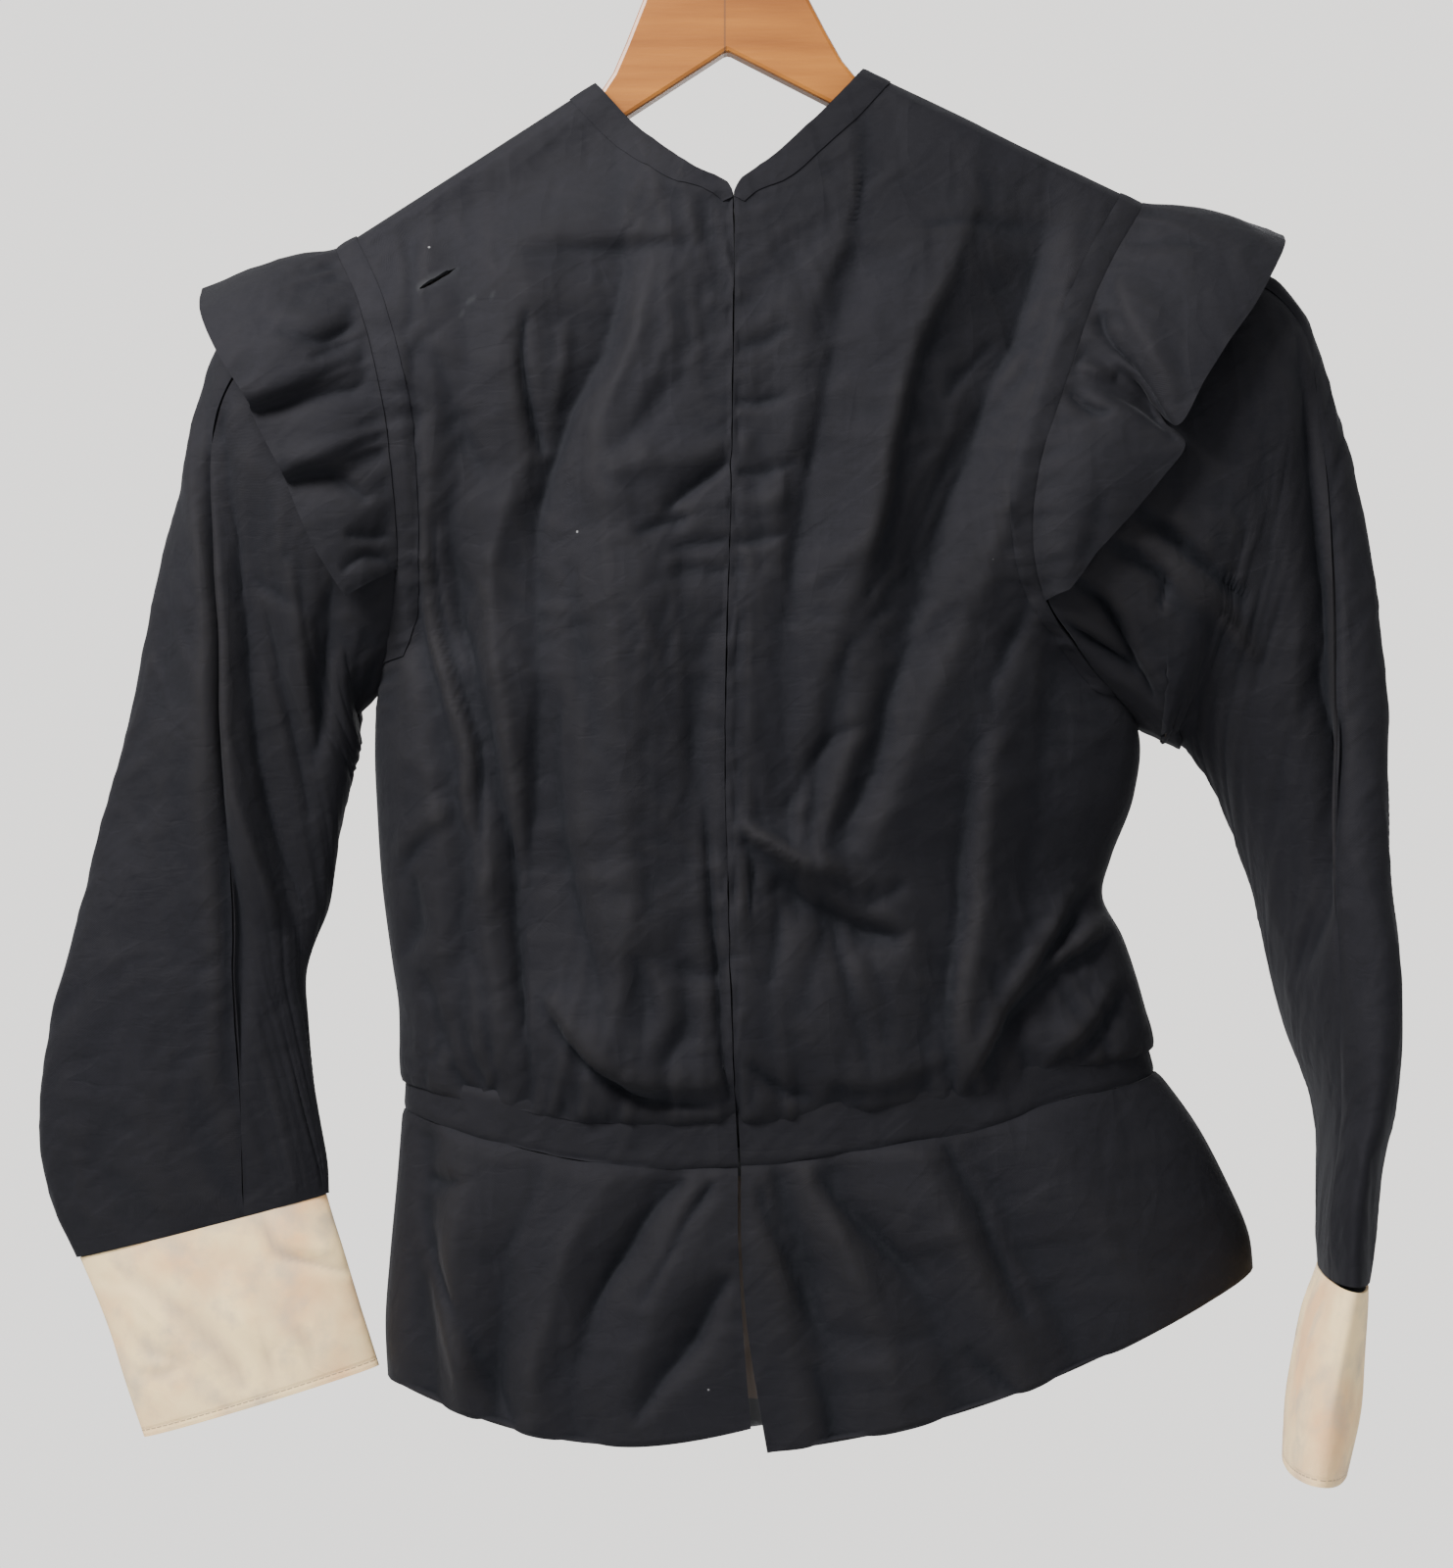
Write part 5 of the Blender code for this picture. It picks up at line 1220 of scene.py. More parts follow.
def back_sections(right, left, neck=None, lower=0.0):
    """Both halves of a back piece, from the fronts' sections, with one centre line."""
    right, left = (np.array(half, float) for half in (right, left))
    right[:, :3] = left[:, :3] = (right[:, :3] + left[:, :3]) / 2
    for half in (right, left):
        half[:2, 1] += (lower, lower / 2)
    if neck:
        mirror = FRONT_RIGHT[-1][0] + FRONT_LEFT[-1][0]
        right[NOTCH:, :3] = left[NOTCH:, :3] = neck
        left[NOTCH + 1 :, 0] = mirror - right[NOTCH + 1 :, 0]
        left[NOTCH + 1 :, 1] -= math.tan(TILT) * (left - right)[NOTCH + 1 :, 0]
    return right, left


# %% Halves of the back
def back_halves(sections, places, counts, folds, creases, seed, shared, **more):
    """Grids and crests of a back's right and left half, which meet at the centre in the shared rows."""
    halves = [
        panel(half, places, counts, 1, folds.get(name), creases, seed, **more)
        for name, half in zip(("right", "left"), sections)
    ]
    middle = (halves[0][0][shared, 0] + halves[1][0][shared, 0]) / 2
    for grid, _ in halves:
        grid[shared, 0] = middle
    return halves


def joined_halves(name, halves, shared):
    """A back piece: two halves that share their centre points in the shared rows."""
    points = np.concatenate([grid.reshape(-1, 3) for grid, _ in halves])
    crest = np.concatenate([height.ravel() for _, height in halves])
    rows, columns = halves[0][0].shape[:2]
    numbers = np.arange(len(points)).reshape(2, rows, columns)
    numbers[1, shared, 0] = numbers[0, shared, 0]
    cuts = []
    for sign, (grid, _) in zip((-1, 1), halves):
        across, down = cut_places(grid)
        cuts.append(np.stack([sign * across, down], axis=-1).reshape(-1, 2))
    plain = np.arange(len(points)).reshape(2, rows, columns)
    corners = [loft_faces(plain[0])[:, ::-1], loft_faces(plain[1])]
    faces = np.concatenate([loft_faces(numbers[0])[:, ::-1], loft_faces(numbers[1])])
    corner_cuts = np.concatenate(cuts)[np.concatenate(corners)]
    used, renumbered = np.unique(faces, return_inverse=True)
    faces = renumbered.reshape(-1, 4)
    outward = np.broadcast_to((0.0, 1.0, 0.0), (len(used), 3))
    spans = [cut_places(grid) for grid, _ in halves]
    width = sum(across[:, -1].max() for across, _ in spans)
    cut_size[f"cloth_{name}"] = width, max(down[-1].max() for _, down in spans)
    cloth(name, points[used], faces, corner_cuts, outward, crest[used], black)


# %% Back
BACK_COUNTS = (5, 44, 5)
BACK_SPACING, BACK_SEED = 3.0, 41

back_places = even_places(FRONT_RIGHT, BACK_SPACING)
below_neck = back_places <= NOTCH
backs = back_halves(
    back_sections(FRONT_RIGHT, FRONT_LEFT, BACK_NECK),
    back_places,
    BACK_COUNTS,
    BACK_LONG_FOLDS,
    BACK_CREASES,
    BACK_SEED,
    below_neck,
    first_column=neck_column,
)
joined_halves("back", backs, below_neck)

# %% [markdown]
# ## Bands at the neck and the armholes
#
# A bias strip binds the neck, and a narrow strip covers the seam between each panel and its ruffle. A ribbon
# of its own shape would sink into some folds and float over others. So a band lies on points of the panel,
# moved out by the panel's thickness, and follows every fold under it.


# %% Bands
def moved_out(grid, side, distance):
    """The grid moved along its normals, forwards for side -1 and backwards for 1."""
    return grid + normals(grid, (0, side, 0)) * distance


def over_shoulder(front, back):
    """A band's points, from a front strip and a back strip that meet on the shoulder seam."""
    ridge = (front[-1] + back[-1]) / 2
    ridge[:, 2] = np.maximum(front[-1], back[-1])[:, 2] + 0.3
    return np.concatenate([front[:-1], ridge[None], back[-2::-1]])


def band(name, grid, puckers):
    """A band's cloth. puckers says how high the small ridges across it are."""
    outward = grid * (0, 1, 0) + (0, 0, DEEP_EDGE)
    across, down = cut_places(grid)
    share = np.linspace(0, 1, grid.shape[1])
    height = puckers * (0.5 + ridged(down, across / 4, 5.5, 77)) * np.sin(math.pi * share) ** 0.5
    grid = grid + normals(grid, outward) * height[..., None]
    sheet(name, grid, outward, crests(height), wall=TRIM_WALL)


# %% Neck binding and armhole bands
NECK_PUCKERS, ARMHOLE_PUCKERS = 0.35, 0.7
ARMHOLE_COLUMNS = [0, 1, 2, 3, 5, 6]

strips = []
for name, (back_grid, _) in zip(("right", "left"), backs):
    outer_front = moved_out(fronts[name][0], -1, WALL + LYING)
    outer_back = moved_out(back_grid, 1, WALL + LYING)
    in_front, behind = front_places >= NOTCH - 0.5, back_places >= NOTCH
    sides = over_shoulder(
        outer_front[in_front][:, [0, FRONT_COUNTS[0]]], outer_back[behind][:, [0, BACK_COUNTS[0]]]
    )
    reach = np.linspace(0, 1, FRONT_COUNTS[0] + 1)
    strips.append(np.array([along(row, reach) for row in sides]))
    in_front, behind = front_places > UNDERARM + 0.4, back_places > UNDERARM + 0.4
    armhole_strip = over_shoulder(
        outer_front[in_front][:, -FRONT_COUNTS[2] - 1 :][:, ARMHOLE_COLUMNS],
        outer_back[behind][:, -BACK_COUNTS[2] - 1 :],
    )
    band(f"armhole_band_{name}", armhole_strip, ARMHOLE_PUCKERS)

foot = (strips[0][-1] + strips[1][-1]) / 2 + (0, 0.8, 0)
band("neck_band", np.concatenate([strips[0][:-1], foot[None], strips[1][-2::-1]]), NECK_PUCKERS)

# %% [markdown]
# ## Sleeves and cuffs
#
# A sleeve is cut in two pieces, a wide upper one and an undersleeve, joined along the elbow and inside the
# arm. Both come from the same rings round the arm, so they meet along their whole length. The first ring is
# the armhole itself, and the next few still have something of its shape. Folds are drawn on the side that
# shows, and rumples go all round. A cuff is a band of cream cotton, made from rings too and turned back.

# %% Sections of the right sleeve
# outer edge: x, drop, depth; inner edge: x, drop, depth; half thickness
SLEEVE_RIGHT = (
    (-177, 210, 0, -146, 390, 0, 28),
    (-195, 221, 0, -148, 394, 0, 27),
    (-211, 240, 0, -149, 400, 0, 26),
    (-219, 266, 0, -150, 406, 0, 24),
    (-224, 298, 0, -152, 414, 0, 22),
    (-232, 331, 0, -154, 423, 0, 21),
    (-240, 367, 0, -158, 439, 0, 19),
    (-248, 402, 0, -161, 458, 0, 18),
    (-258, 437, 0, -164, 478, 0, 17),
    (-267, 471, 0, -169, 492, 0, 16),
    (-275, 504, 0, -173, 506, 0, 16),
    (-282, 536, 0, -172, 526, 0, 15),
    (-285, 564, 0, -170, 548, 0, 14),
    (-284, 588, 0, -167, 570, 0, 13),
    (-279, 608, 0, -164.5, 587, 0, 12),
    (-270, 626, 0, -164, 599, 0, 11),
)
print("right sleeve:", len(SLEEVE_RIGHT), "sections")

# %% Sections of the left sleeve
SLEEVE_LEFT = (
    (202, 199, 0, 188, 404, 0, 34),
    (221, 203, 0, 190, 404, 0, 34),
    (242, 211.5, 1, 192, 404, 0, 33),
    (256, 228, 2, 194, 404, -1, 30),
    (264, 256, 4, 197, 404, -3, 27),
    (273, 289, 8, 199, 402, -6, 24),
    (279, 323, 13, 205, 406, -10, 21),
    (282, 359, 19, 213, 415, -15, 20),
    (283, 396, 26, 222, 428, -20, 18.5),
    (281, 432, 33, 233, 449, -25, 17),
    (280, 468, 40, 244, 474, -29, 16.5),
    (281.5, 499, 46, 252, 502, -33, 16.5),
    (280, 529, 51, 263, 532, -36, 16),
    (276, 558, 54, 273, 556, -38, 13),
    (270, 582, 56, 277, 580, -40, 10.5),
    (267, 606, 57, 277, 607, -41, 10),
    (266, 631, 57, 275, 631, -41, 9),
)
print("left sleeve:", len(SLEEVE_LEFT), "sections")

# %% Seams and folds of the sleeves
FROM_ARMHOLE = (1.0, 0.45, 0.2, 0.05)  # how far the first rings still keep the armhole's shape
SLEEVE_CLEAR, UNDERARM_CLEAR = 0.5, 0.9  # gaps to the armhole's edge, at the shoulder and under the arm
INNER_SEAM, SEAM_DEGREES = 205.0, 0.14  # where the inner seam is round the arm, and half a seam's gap
# degrees round the sleeve at which each ring has the elbow seam, from the armhole down
ELBOW_SEAM = {
    "right": (34, 34, 35, 37, 40, 54, 70, 80, 90, 100, 109, 115, 118, 119, 117, 114, 111),
    "left": (16, 16, 17, 18, 22, 31, 40, 46, 49, 50, 50, 49, 50, 52, 52, 52, 52, 52),
}
SLEEVE_CREASES = (
    ("right elbow ridge", ((-216, 250), (-210, 324), (-200, 424), (-184, 482)), 16, 6, 8, 1.5),
    ("right elbow hollow", ((-204, 262), (-197, 324), (-188, 424), (-170, 480)), 4, 9, -5, 1.6),
    ("right inner fold", ((-190, 420), (-181, 465), (-172, 500)), 7, 4, -2.6, 1.7),
    ("right forearm hollow", ((-205, 392), (-202, 482), (-199, 570)), 9, 4, -4, 1.6),
    ("right forearm crest", ((-214, 396), (-212, 482), (-208, 566)), 5, 4, 2.2, 1.8),
    ("right underarm hollow", ((-158, 335), (-161, 374), (-166, 420)), 7, 5, -6, 1.7),
    ("right underarm fold", ((-176, 330), (-170, 372), (-166, 410)), 4, 4, 3.4, 1.6),
    ("right underarm line", ((-186, 352), (-176, 392), (-168, 440)), 3, 5, -3.4, 1.5),
    ("right thin line", ((-194, 338), (-181, 345), (-166, 351)), 3, 5, -1.2, 1.6),
    ("left elbow hollow", ((249, 232), (255, 275), (258, 320), (260, 355), (259, 406), (255, 455),
        (250, 510)), 8, 4, -8, 1.7),
    ("left underarm one", ((176, 306), (188, 315), (200, 324), (226, 346)), 4.6, 2.6, -7, 1.4),
    ("left underarm two", ((162, 322), (176, 326), (190, 338), (184, 348)), 3, 3, -5, 1.5),
    ("left underarm three", ((150, 337), (164, 346), (177, 368), (188, 388)), 4, 2.8, -9, 1.4),
    ("left underarm four", ((143, 351), (155, 359), (172, 371), (180, 378)), 3, 3, -7, 1.4),
    ("left underarm crest", ((170, 315), (190, 328), (212, 348), (232, 372)), 5, 5, 4.6, 1.6),
    ("left forearm slope", ((256, 366), (258, 420), (255, 470), (251, 506)), 25, 5, -7.5, 1.8),
)
print("folds on the sleeves:", len(SLEEVE_CREASES))


# %% Rings round the arm
def ring(section, before, after, side, degrees):
    """Points round a sleeve at one section. before and after are the middles of its neighbours."""
    outer = np.array([section[0], -section[2], -section[1]])
    inner = np.array([section[3], -section[5], -section[4]])
    centre, chord = (outer + inner) / 2, (outer - inner) / 2
    front = unit(np.cross(unit(after - before), unit(chord))) * side
    angle = np.radians(degrees)[:, None]
    return centre + np.cos(angle) * chord + np.sin(angle) * front * section[6]


def tube_rings(sections, side, degrees):
    """Rings of a tube, one at each section."""
    edges = np.array(sections)
    middles = (edges[:, :3] + edges[:, 3:6])[:, (0, 2, 1)] / 2 * (1, -1, -1)
    before, after = middles[[0, *range(len(sections) - 1)]], middles[[*range(1, len(sections)), -1]]
    spans = np.broadcast_to(degrees, (len(sections), np.shape(degrees)[-1]))
    return np.array([ring(s, b, a, side, d) for s, b, a, d in zip(sections, before, after, spans)])


def sleeve_rings(sections, armhole, side, spans):
    """Rings of a sleeve: the armhole's edge, the next few still taking its shape, and the rest of the arm.

    spans holds the degrees of each ring's points.
    """
    front, back = armhole
    degrees = spans[0]
    on_front = along(front, np.clip(degrees / 180.0, 0, 1))
    on_back = along(back, np.clip((360.0 - degrees) / 180.0, 0, 1))
    edge = np.where((degrees <= 180.0)[:, None], on_front, on_back)
    under = (1 - np.cos(np.radians(degrees))) / 2
    edge[:, 0] += side * (SLEEVE_CLEAR + (UNDERARM_CLEAR - SLEEVE_CLEAR) * under)
    rings = np.concatenate([edge[None], tube_rings(sections, side, spans[1:])])
    for k, share in enumerate(FROM_ARMHOLE[1:], start=1):
        shift = rings[k].mean(axis=0) - edge.mean(axis=0)
        rings[k] = share * (edge + shift) + (1 - share) * rings[k]
    return rings


def between_rings(rings, spacing):
    """The same tube with rings about evenly spaced."""
    middles = rings.mean(axis=1)
    length = np.concatenate([[0.0], np.cumsum(np.linalg.norm(np.diff(middles, axis=0), axis=1))])
    length += np.arange(len(rings)) * 4.0
    places = np.interp(np.linspace(0, length[-1], int(length[-1] / spacing)), length, np.arange(len(rings)))
    return through(rings.reshape(len(rings), -1), places).reshape(len(places), *rings.shape[1:])


wrist = tube_rings(SLEEVE_RIGHT, -1, np.array([0.0, 180.0]))[-1]
print("right sleeve's width at the wrist:", round(math.dist(*wrist), 1), "mm")

# %% Armholes
armholes = {}
for name, (back_grid, _) in zip(("right", "left"), backs):
    in_front, behind = front_places >= UNDERARM, back_places >= UNDERARM
    armholes[name] = (fronts[name][0][in_front, -1][::-1], back_grid[behind, -1][::-1])

print("armhole points:", {name: [len(half) for half in halves] for name, halves in armholes.items()})

# %% Sleeves
SLEEVE_COLUMNS = {"upper": 70, "under": 78}
SLEEVE_PULL, SLEEVE_PULL_COLUMNS = 0.5, 1.2  # the seams' stitches pull the cloth in

for name, sections, side, seed in (("right", SLEEVE_RIGHT, -1, 61), ("left", SLEEVE_LEFT, 1, 71)):
    elbow = np.array(ELBOW_SEAM[name], float)[:, None]
    round_arm = np.broadcast_to(np.arange(0.0, 360.0, 10.0), (len(elbow), 36))
    middle = between_rings(sleeve_rings(sections, armholes[name], side, round_arm), SPACING).mean(axis=1)
    for kind, start, stop in (("upper", elbow, INNER_SEAM), ("under", INNER_SEAM, elbow + 360.0)):
        share = np.linspace(0, 1, SLEEVE_COLUMNS[kind])
        spans = (start + SEAM_DEGREES) * (1 - share) + (stop - SEAM_DEGREES) * share
        spans = np.broadcast_to(spans, (len(elbow), len(share)))
        grid = between_rings(sleeve_rings(sections, armholes[name], side, spans % 360.0), SPACING)
        centre = along(middle, np.linspace(0, 1, len(grid)))[:, None]
        face = normals(grid, grid - centre)
        from_top, across = np.arange(len(grid)), np.arange(grid.shape[1])
        fade = np.clip(from_top / 6, 0, 1) * np.clip(from_top[::-1] / 8, 0, 1)
        from_seam = np.minimum(across, across[::-1])
        seen = np.clip(-face[..., 1] * 1.6, 0, 1)
        height = crease_heights(grid, SLEEVE_CREASES) * seen
        height += 0.8 * rumple(*cut_places(grid), seed + len(kind))
        height *= fade[:, None] * np.clip(from_seam / 1.5, 0, 1)
        height -= SLEEVE_PULL * np.exp(-((from_seam / SLEEVE_PULL_COLUMNS) ** 2))
        sheet(f"sleeve_{kind}_{name}", grid + face * height[..., None], grid - centre, crests(height))

# %% Sections and folds of the cuffs
CUFF_RIGHT = (
    (-268.5, 626.1, 0, -164.9, 599.7, 0, 10.6),
    (-257, 654, 0, -157, 625, 0, 12),
    (-249, 679, 0, -150, 649, 0, 12),
    (-241, 703, 0, -142.5, 673, 0, 10),
)
CUFF_LEFT = (
    (265.7, 633.1, 56.6, 274.6, 633.1, -40.6, 8.8),
    (260, 659, 58, 270, 659, -41, 13),
    (255, 687, 58, 268, 688, -41, 14.5),
    (251, 713, 58, 265, 713, -40, 12.5),
)
CUFF_CREASES = (
    ("right broad hollow", ((-252, 630), (-226, 650), (-207, 668), (-199, 680)), 7, 6, -2.6, 1.9),
    ("right low crease one", ((-247, 656), (-237, 665), (-224, 667)), 3, 3, -1.8, 1.4),
    ("right low crease two", ((-243, 673), (-234, 673), (-222, 668)), 3, 4, -1.6, 1.5),
    ("right low crest", ((-240, 668), (-230, 669)), 3, 3, 1, 1.8),
    ("right upper crease", ((-190, 613), (-183, 626), (-170, 629), (-150, 635)), 3, 4, -2, 1.4),
    ("right upper crest", ((-186, 610), (-176, 622), (-160, 624)), 3, 5, 1.4, 1.8),
    ("right middle swell", ((-205, 632), (-198, 652), (-186, 664)), 9, 8, 2, 2),
    ("right fold line", ((-176, 655), (-171, 664), (-168, 674)), 2.4, 3.4, -1.2, 1.4),
    ("right end fold", ((-192, 652), (-190, 666), (-188, 680)), 3, 4, -1.2, 1.6),
    ("left long fold", ((262, 640), (259, 668), (256, 700)), 3, 4, -2.2, 1.6),
    ("left short fold", ((268, 650), (266, 672), (264, 690)), 3, 3, -1.6, 1.6),
)
print("folds on the cuffs:", len(CUFF_CREASES))

# %% Cuffs
CUFF_COLUMNS, CUFF_SEED = 96, 91

for name, sections, side in (("right", CUFF_RIGHT, -1), ("left", CUFF_LEFT, 1)):
    rings = tube_rings(sections, side, np.arange(CUFF_COLUMNS) * 360.0 / CUFF_COLUMNS)[::-1]
    rings = between_rings(rings, SPACING)
    centre = rings.mean(axis=1)[:, None]
    u, v = cut_places(rings)
    face = normals(rings, rings - centre)
    height = 0.6 * lattice_noise(u, v, 24, CUFF_SEED) + 0.5 * ridged(u + 0.3 * v, v / 3, 17, CUFF_SEED + 1)
    height += crease_heights(rings, CUFF_CREASES) * np.clip(-face[..., 1] * 3, 0, 1)
    height *= np.sin(math.pi * np.linspace(0, 1, CUFF_COLUMNS))[None] ** 0.5
    grid = rings + face * height[..., None]
    sheet(f"cuff_{name}", grid, rings - centre, crests(height), cream, around=True)

# %% [markdown]
# ## Ruffles
#
# A ruffle is a ribbon along the armhole, gathered into its seam and free at the other edge. Its rows run
# from the front over the shoulder to the back. The tables give its free edge, and its folds swing inwards
# where one lobe tucks under the next.

# %% Free edges of the ruffles
# place along the front armhole, 0 at the shoulder and 1 at the underarm; free edge: x, drop, depth; how far
# the middle stands out
RUFFLE_RIGHT = (
    (0.00, -217, 212, 0, 3),
    (0.05, -216, 219, 14, 4),
    (0.10, -213, 228, 27, 5),
    (0.16, -207, 240, 38, 5),
    (0.22, -199, 253, 45, 5),
    (0.28, -191, 265, 46.5, 4),
    (0.32, -190, 270, 41, 2),
    (0.39, -185, 280, 41.5, 4),
    (0.46, -178, 293, 43.5, 4),
    (0.51, -176, 299, 38, 2),
    (0.58, -171, 311, 39, 3),
    (0.64, -165, 324, 39, 3),
    (0.69, -158, 336, 38, 3),
    (0.73, -152, 345, 36, 2),
)
RUFFLE_LEFT = (
    (0.00, 246, 189, 0, 3),
    (0.04, 244, 196, 16, 4),
    (0.08, 237, 209, 28, 5),
    (0.13, 228, 224, 37, 5),
    (0.18, 217, 239, 44, 5),
    (0.22, 206, 256, 48, 5),
    (0.26, 195, 275, 50, 5),
    (0.30, 187, 266, 40, 1),
    (0.34, 191, 273, 39, 1),
    (0.38, 198, 283, 44, 4),
    (0.46, 189, 296, 46, 5),
    (0.55, 178, 309, 46, 5),
    (0.65, 162, 327, 46, 4),
    (0.72, 150, 343, 45, 2),
)
print("ruffles stand out by up to", max(row[3] for row in RUFFLE_RIGHT + RUFFLE_LEFT), "mm")

# %% Folds of the ruffles
RUFFLE_CREASES = (
    ("right ledge", ((-196, 266), (-184, 267), (-169, 262), (-157, 259), (-150, 257), (-140, 246)),
        4, 3, -3, 1.6),
    ("right ledge crest", ((-196, 260), (-184, 260), (-169, 255), (-155, 250), (-146, 242)),
        4, 8, 3, 1.8),
    ("right upper fold", ((-180, 234), (-164, 237), (-155, 233), (-144, 224)), 5, 3, -3.2, 1.7),
    ("right upper crest", ((-184, 226), (-164, 228), (-148, 218)), 4, 7, 2, 1.8),
    ("right small fold", ((-168, 247), (-158, 241), (-148, 237)), 3, 3, -2, 1.7),
    ("right low fold", ((-178, 299), (-168, 296), (-159, 296), (-150, 301), (-142, 306)),
        4, 3, -3.6, 1.6),
    ("right low crest", ((-176, 291), (-164, 289), (-150, 293)), 3, 6, 2.2, 1.8),
    ("right end fold one", ((-152, 319), (-141, 320), (-130, 318)), 3, 4, -3.4, 1.7),
    ("right end fold two", ((-154, 335), (-143, 328), (-130, 332)), 3, 4, -3.4, 1.7),
    ("left lobe edge", ((158, 205), (162, 227), (168, 240), (176, 250), (187, 266), (196, 280)),
        6, 3.4, -6.5, 1.4),
    ("left lobe crest", ((168, 205), (174, 226), (184, 244), (196, 264)), 4, 9, 4, 1.8),
    ("left curl", ((152, 247), (160, 251), (170, 253)), 5, 5, 3.6, 1.8),
    ("left dark line", ((146, 258), (153, 264), (160, 268), (168, 268)), 3, 3, -5, 1.5),
    ("left low hollow", ((164, 300), (160, 316), (152, 334)), 6, 6, -2.6, 1.9),
    ("left top fold", ((176, 196), (194, 194), (212, 199)), 4, 4, -1.8, 1.8),
)
print("folds on the ruffles:", len(RUFFLE_CREASES))


# %% Half a ruffle
RUFFLE_OUT, RUFFLE_UP = 0.12, 1.55  # where the ruffle starts, clear of the armhole band
RUFFLE_LEAN = 0.4  # how far its middle leans out and up


def ruffle_half(rows, places, edge, side, facing, columns):
    """Points of the front or back half of a ruffle, from the shoulder down. facing is -1 or 1."""
    place, x, drop, depth, bow = through(rows, places).T
    shares = np.clip(place, 0.01, 0.99)
    start = along(edge, np.clip(place, 0, 1))
    away = unit(np.cross(along(edge, shares + 0.01) - along(edge, shares - 0.01), (1.0, 0.0, 0.0)))
    away *= np.sign((away * (start - edge.mean(axis=0))).sum(axis=1))[:, None]
    start = start + (side * RUFFLE_OUT, 0, 0) + away * RUFFLE_UP
    free = np.stack([x, facing * depth, -drop], axis=1)
    lift = unit(away + (0, facing * RUFFLE_LEAN, RUFFLE_LEAN)) * bow[:, None]
    w = np.linspace(0, 1, columns)[None, :, None]
    return start[:, None] * (1 - w) + free[:, None] * w + lift[:, None] * np.sin(math.pi * w)


# %% Ruffles
RUFFLE_ROWS, RUFFLE_COLUMNS, RUFFLE_WALL = 130, 34, 0.7

for name, rows, side, seed in (("right", RUFFLE_RIGHT, -1, 81), ("left", RUFFLE_LEFT, 1, 87)):
    places = np.linspace(0, len(rows) - 1, RUFFLE_ROWS)
    halves = [
        ruffle_half(rows, places, armhole, side, facing, RUFFLE_COLUMNS)
        for armhole, facing in zip(armholes[name], (-1, 1))
    ]
    ridge = (halves[0][:1] + halves[1][:1]) / 2
    grid = np.concatenate([halves[0][:0:-1], ridge, halves[1][1:]])
    centre = (armholes[name][0].mean(axis=0) + armholes[name][1].mean(axis=0)) / 2
    face = normals(grid, grid - centre)
    u, v = cut_places(grid)
    share = np.linspace(0, 1, RUFFLE_COLUMNS)
    gathers = np.abs(lattice_noise(v, u * 0.1, 7.0, seed)) * np.exp(-share * 3.0) * np.clip(share * 12, 0, 1)
    seen = np.clip(-face[..., 1] * 2 + 0.4, 0, 1)
    height = crease_heights(grid, RUFFLE_CREASES) * seen * np.clip(share * 8, 0, 1) * 0.8 - 1.6 * gathers
    height += 0.5 * rumple(v, u, seed + 1) * np.clip(share * 5, 0, 1)
    raised = grid + face * height[..., None]
    sheet(f"ruffle_{name}", raised, grid - centre, crests(height), wall=RUFFLE_WALL, inside=black)

# %% [markdown]
# ## Waistband and peplum
#
# The blouse bags over a narrow band, and a short skirt hangs from it, open at the centre front. Both go
# round the waist in three pieces, so one function makes either. A tube cut into three would need its seams
# found again afterwards.

# %% Sections of the waistband and the peplum
WAISTBAND_RIGHT = (
    (12.4, 583.1, 41.6, -129.6, 563.3, 0, 8),
    (11.8, 571, 41.6, -129, 554, 0, 8),
    (11.2, 557, 41.6, -128.6, 546, 0, 6),
)
WAISTBAND_LEFT = (
    (13.4, 582.5, 41.6, 190, 546.9, 0, 5),
    (12.8, 571, 41.6, 188, 539.5, 0, 5),
    (12.2, 557, 41.6, 186, 532, 0, 4),
)
PEPLUM_RIGHT = (
    (17.6, 690.5, 50, -136.5, 677, 0, 15),
    (15.6, 667, 50, -137.5, 653, 0, 13),
    (13.6, 639, 48, -135.5, 625, 0, 10),
    (12.2, 611, 46, -132.6, 594, 0, 9),
    (12.2, 583.4, 41.6, -130.2, 563.6, 0, 8),
)
PEPLUM_LEFT = (
    (24.3, 700, 52, 232, 631, 0, 13),
    (20, 675, 51, 230, 616, 0, 11),
    (15.8, 645, 49, 222, 597, 0, 9),
    (13.6, 613, 47, 208.5, 571.5, 0, 7),
    (13.6, 582.8, 41.6, 191, 547.2, 0, 5),
)
print("the peplum reaches", PEPLUM_LEFT[0][1], "mm below the hook")

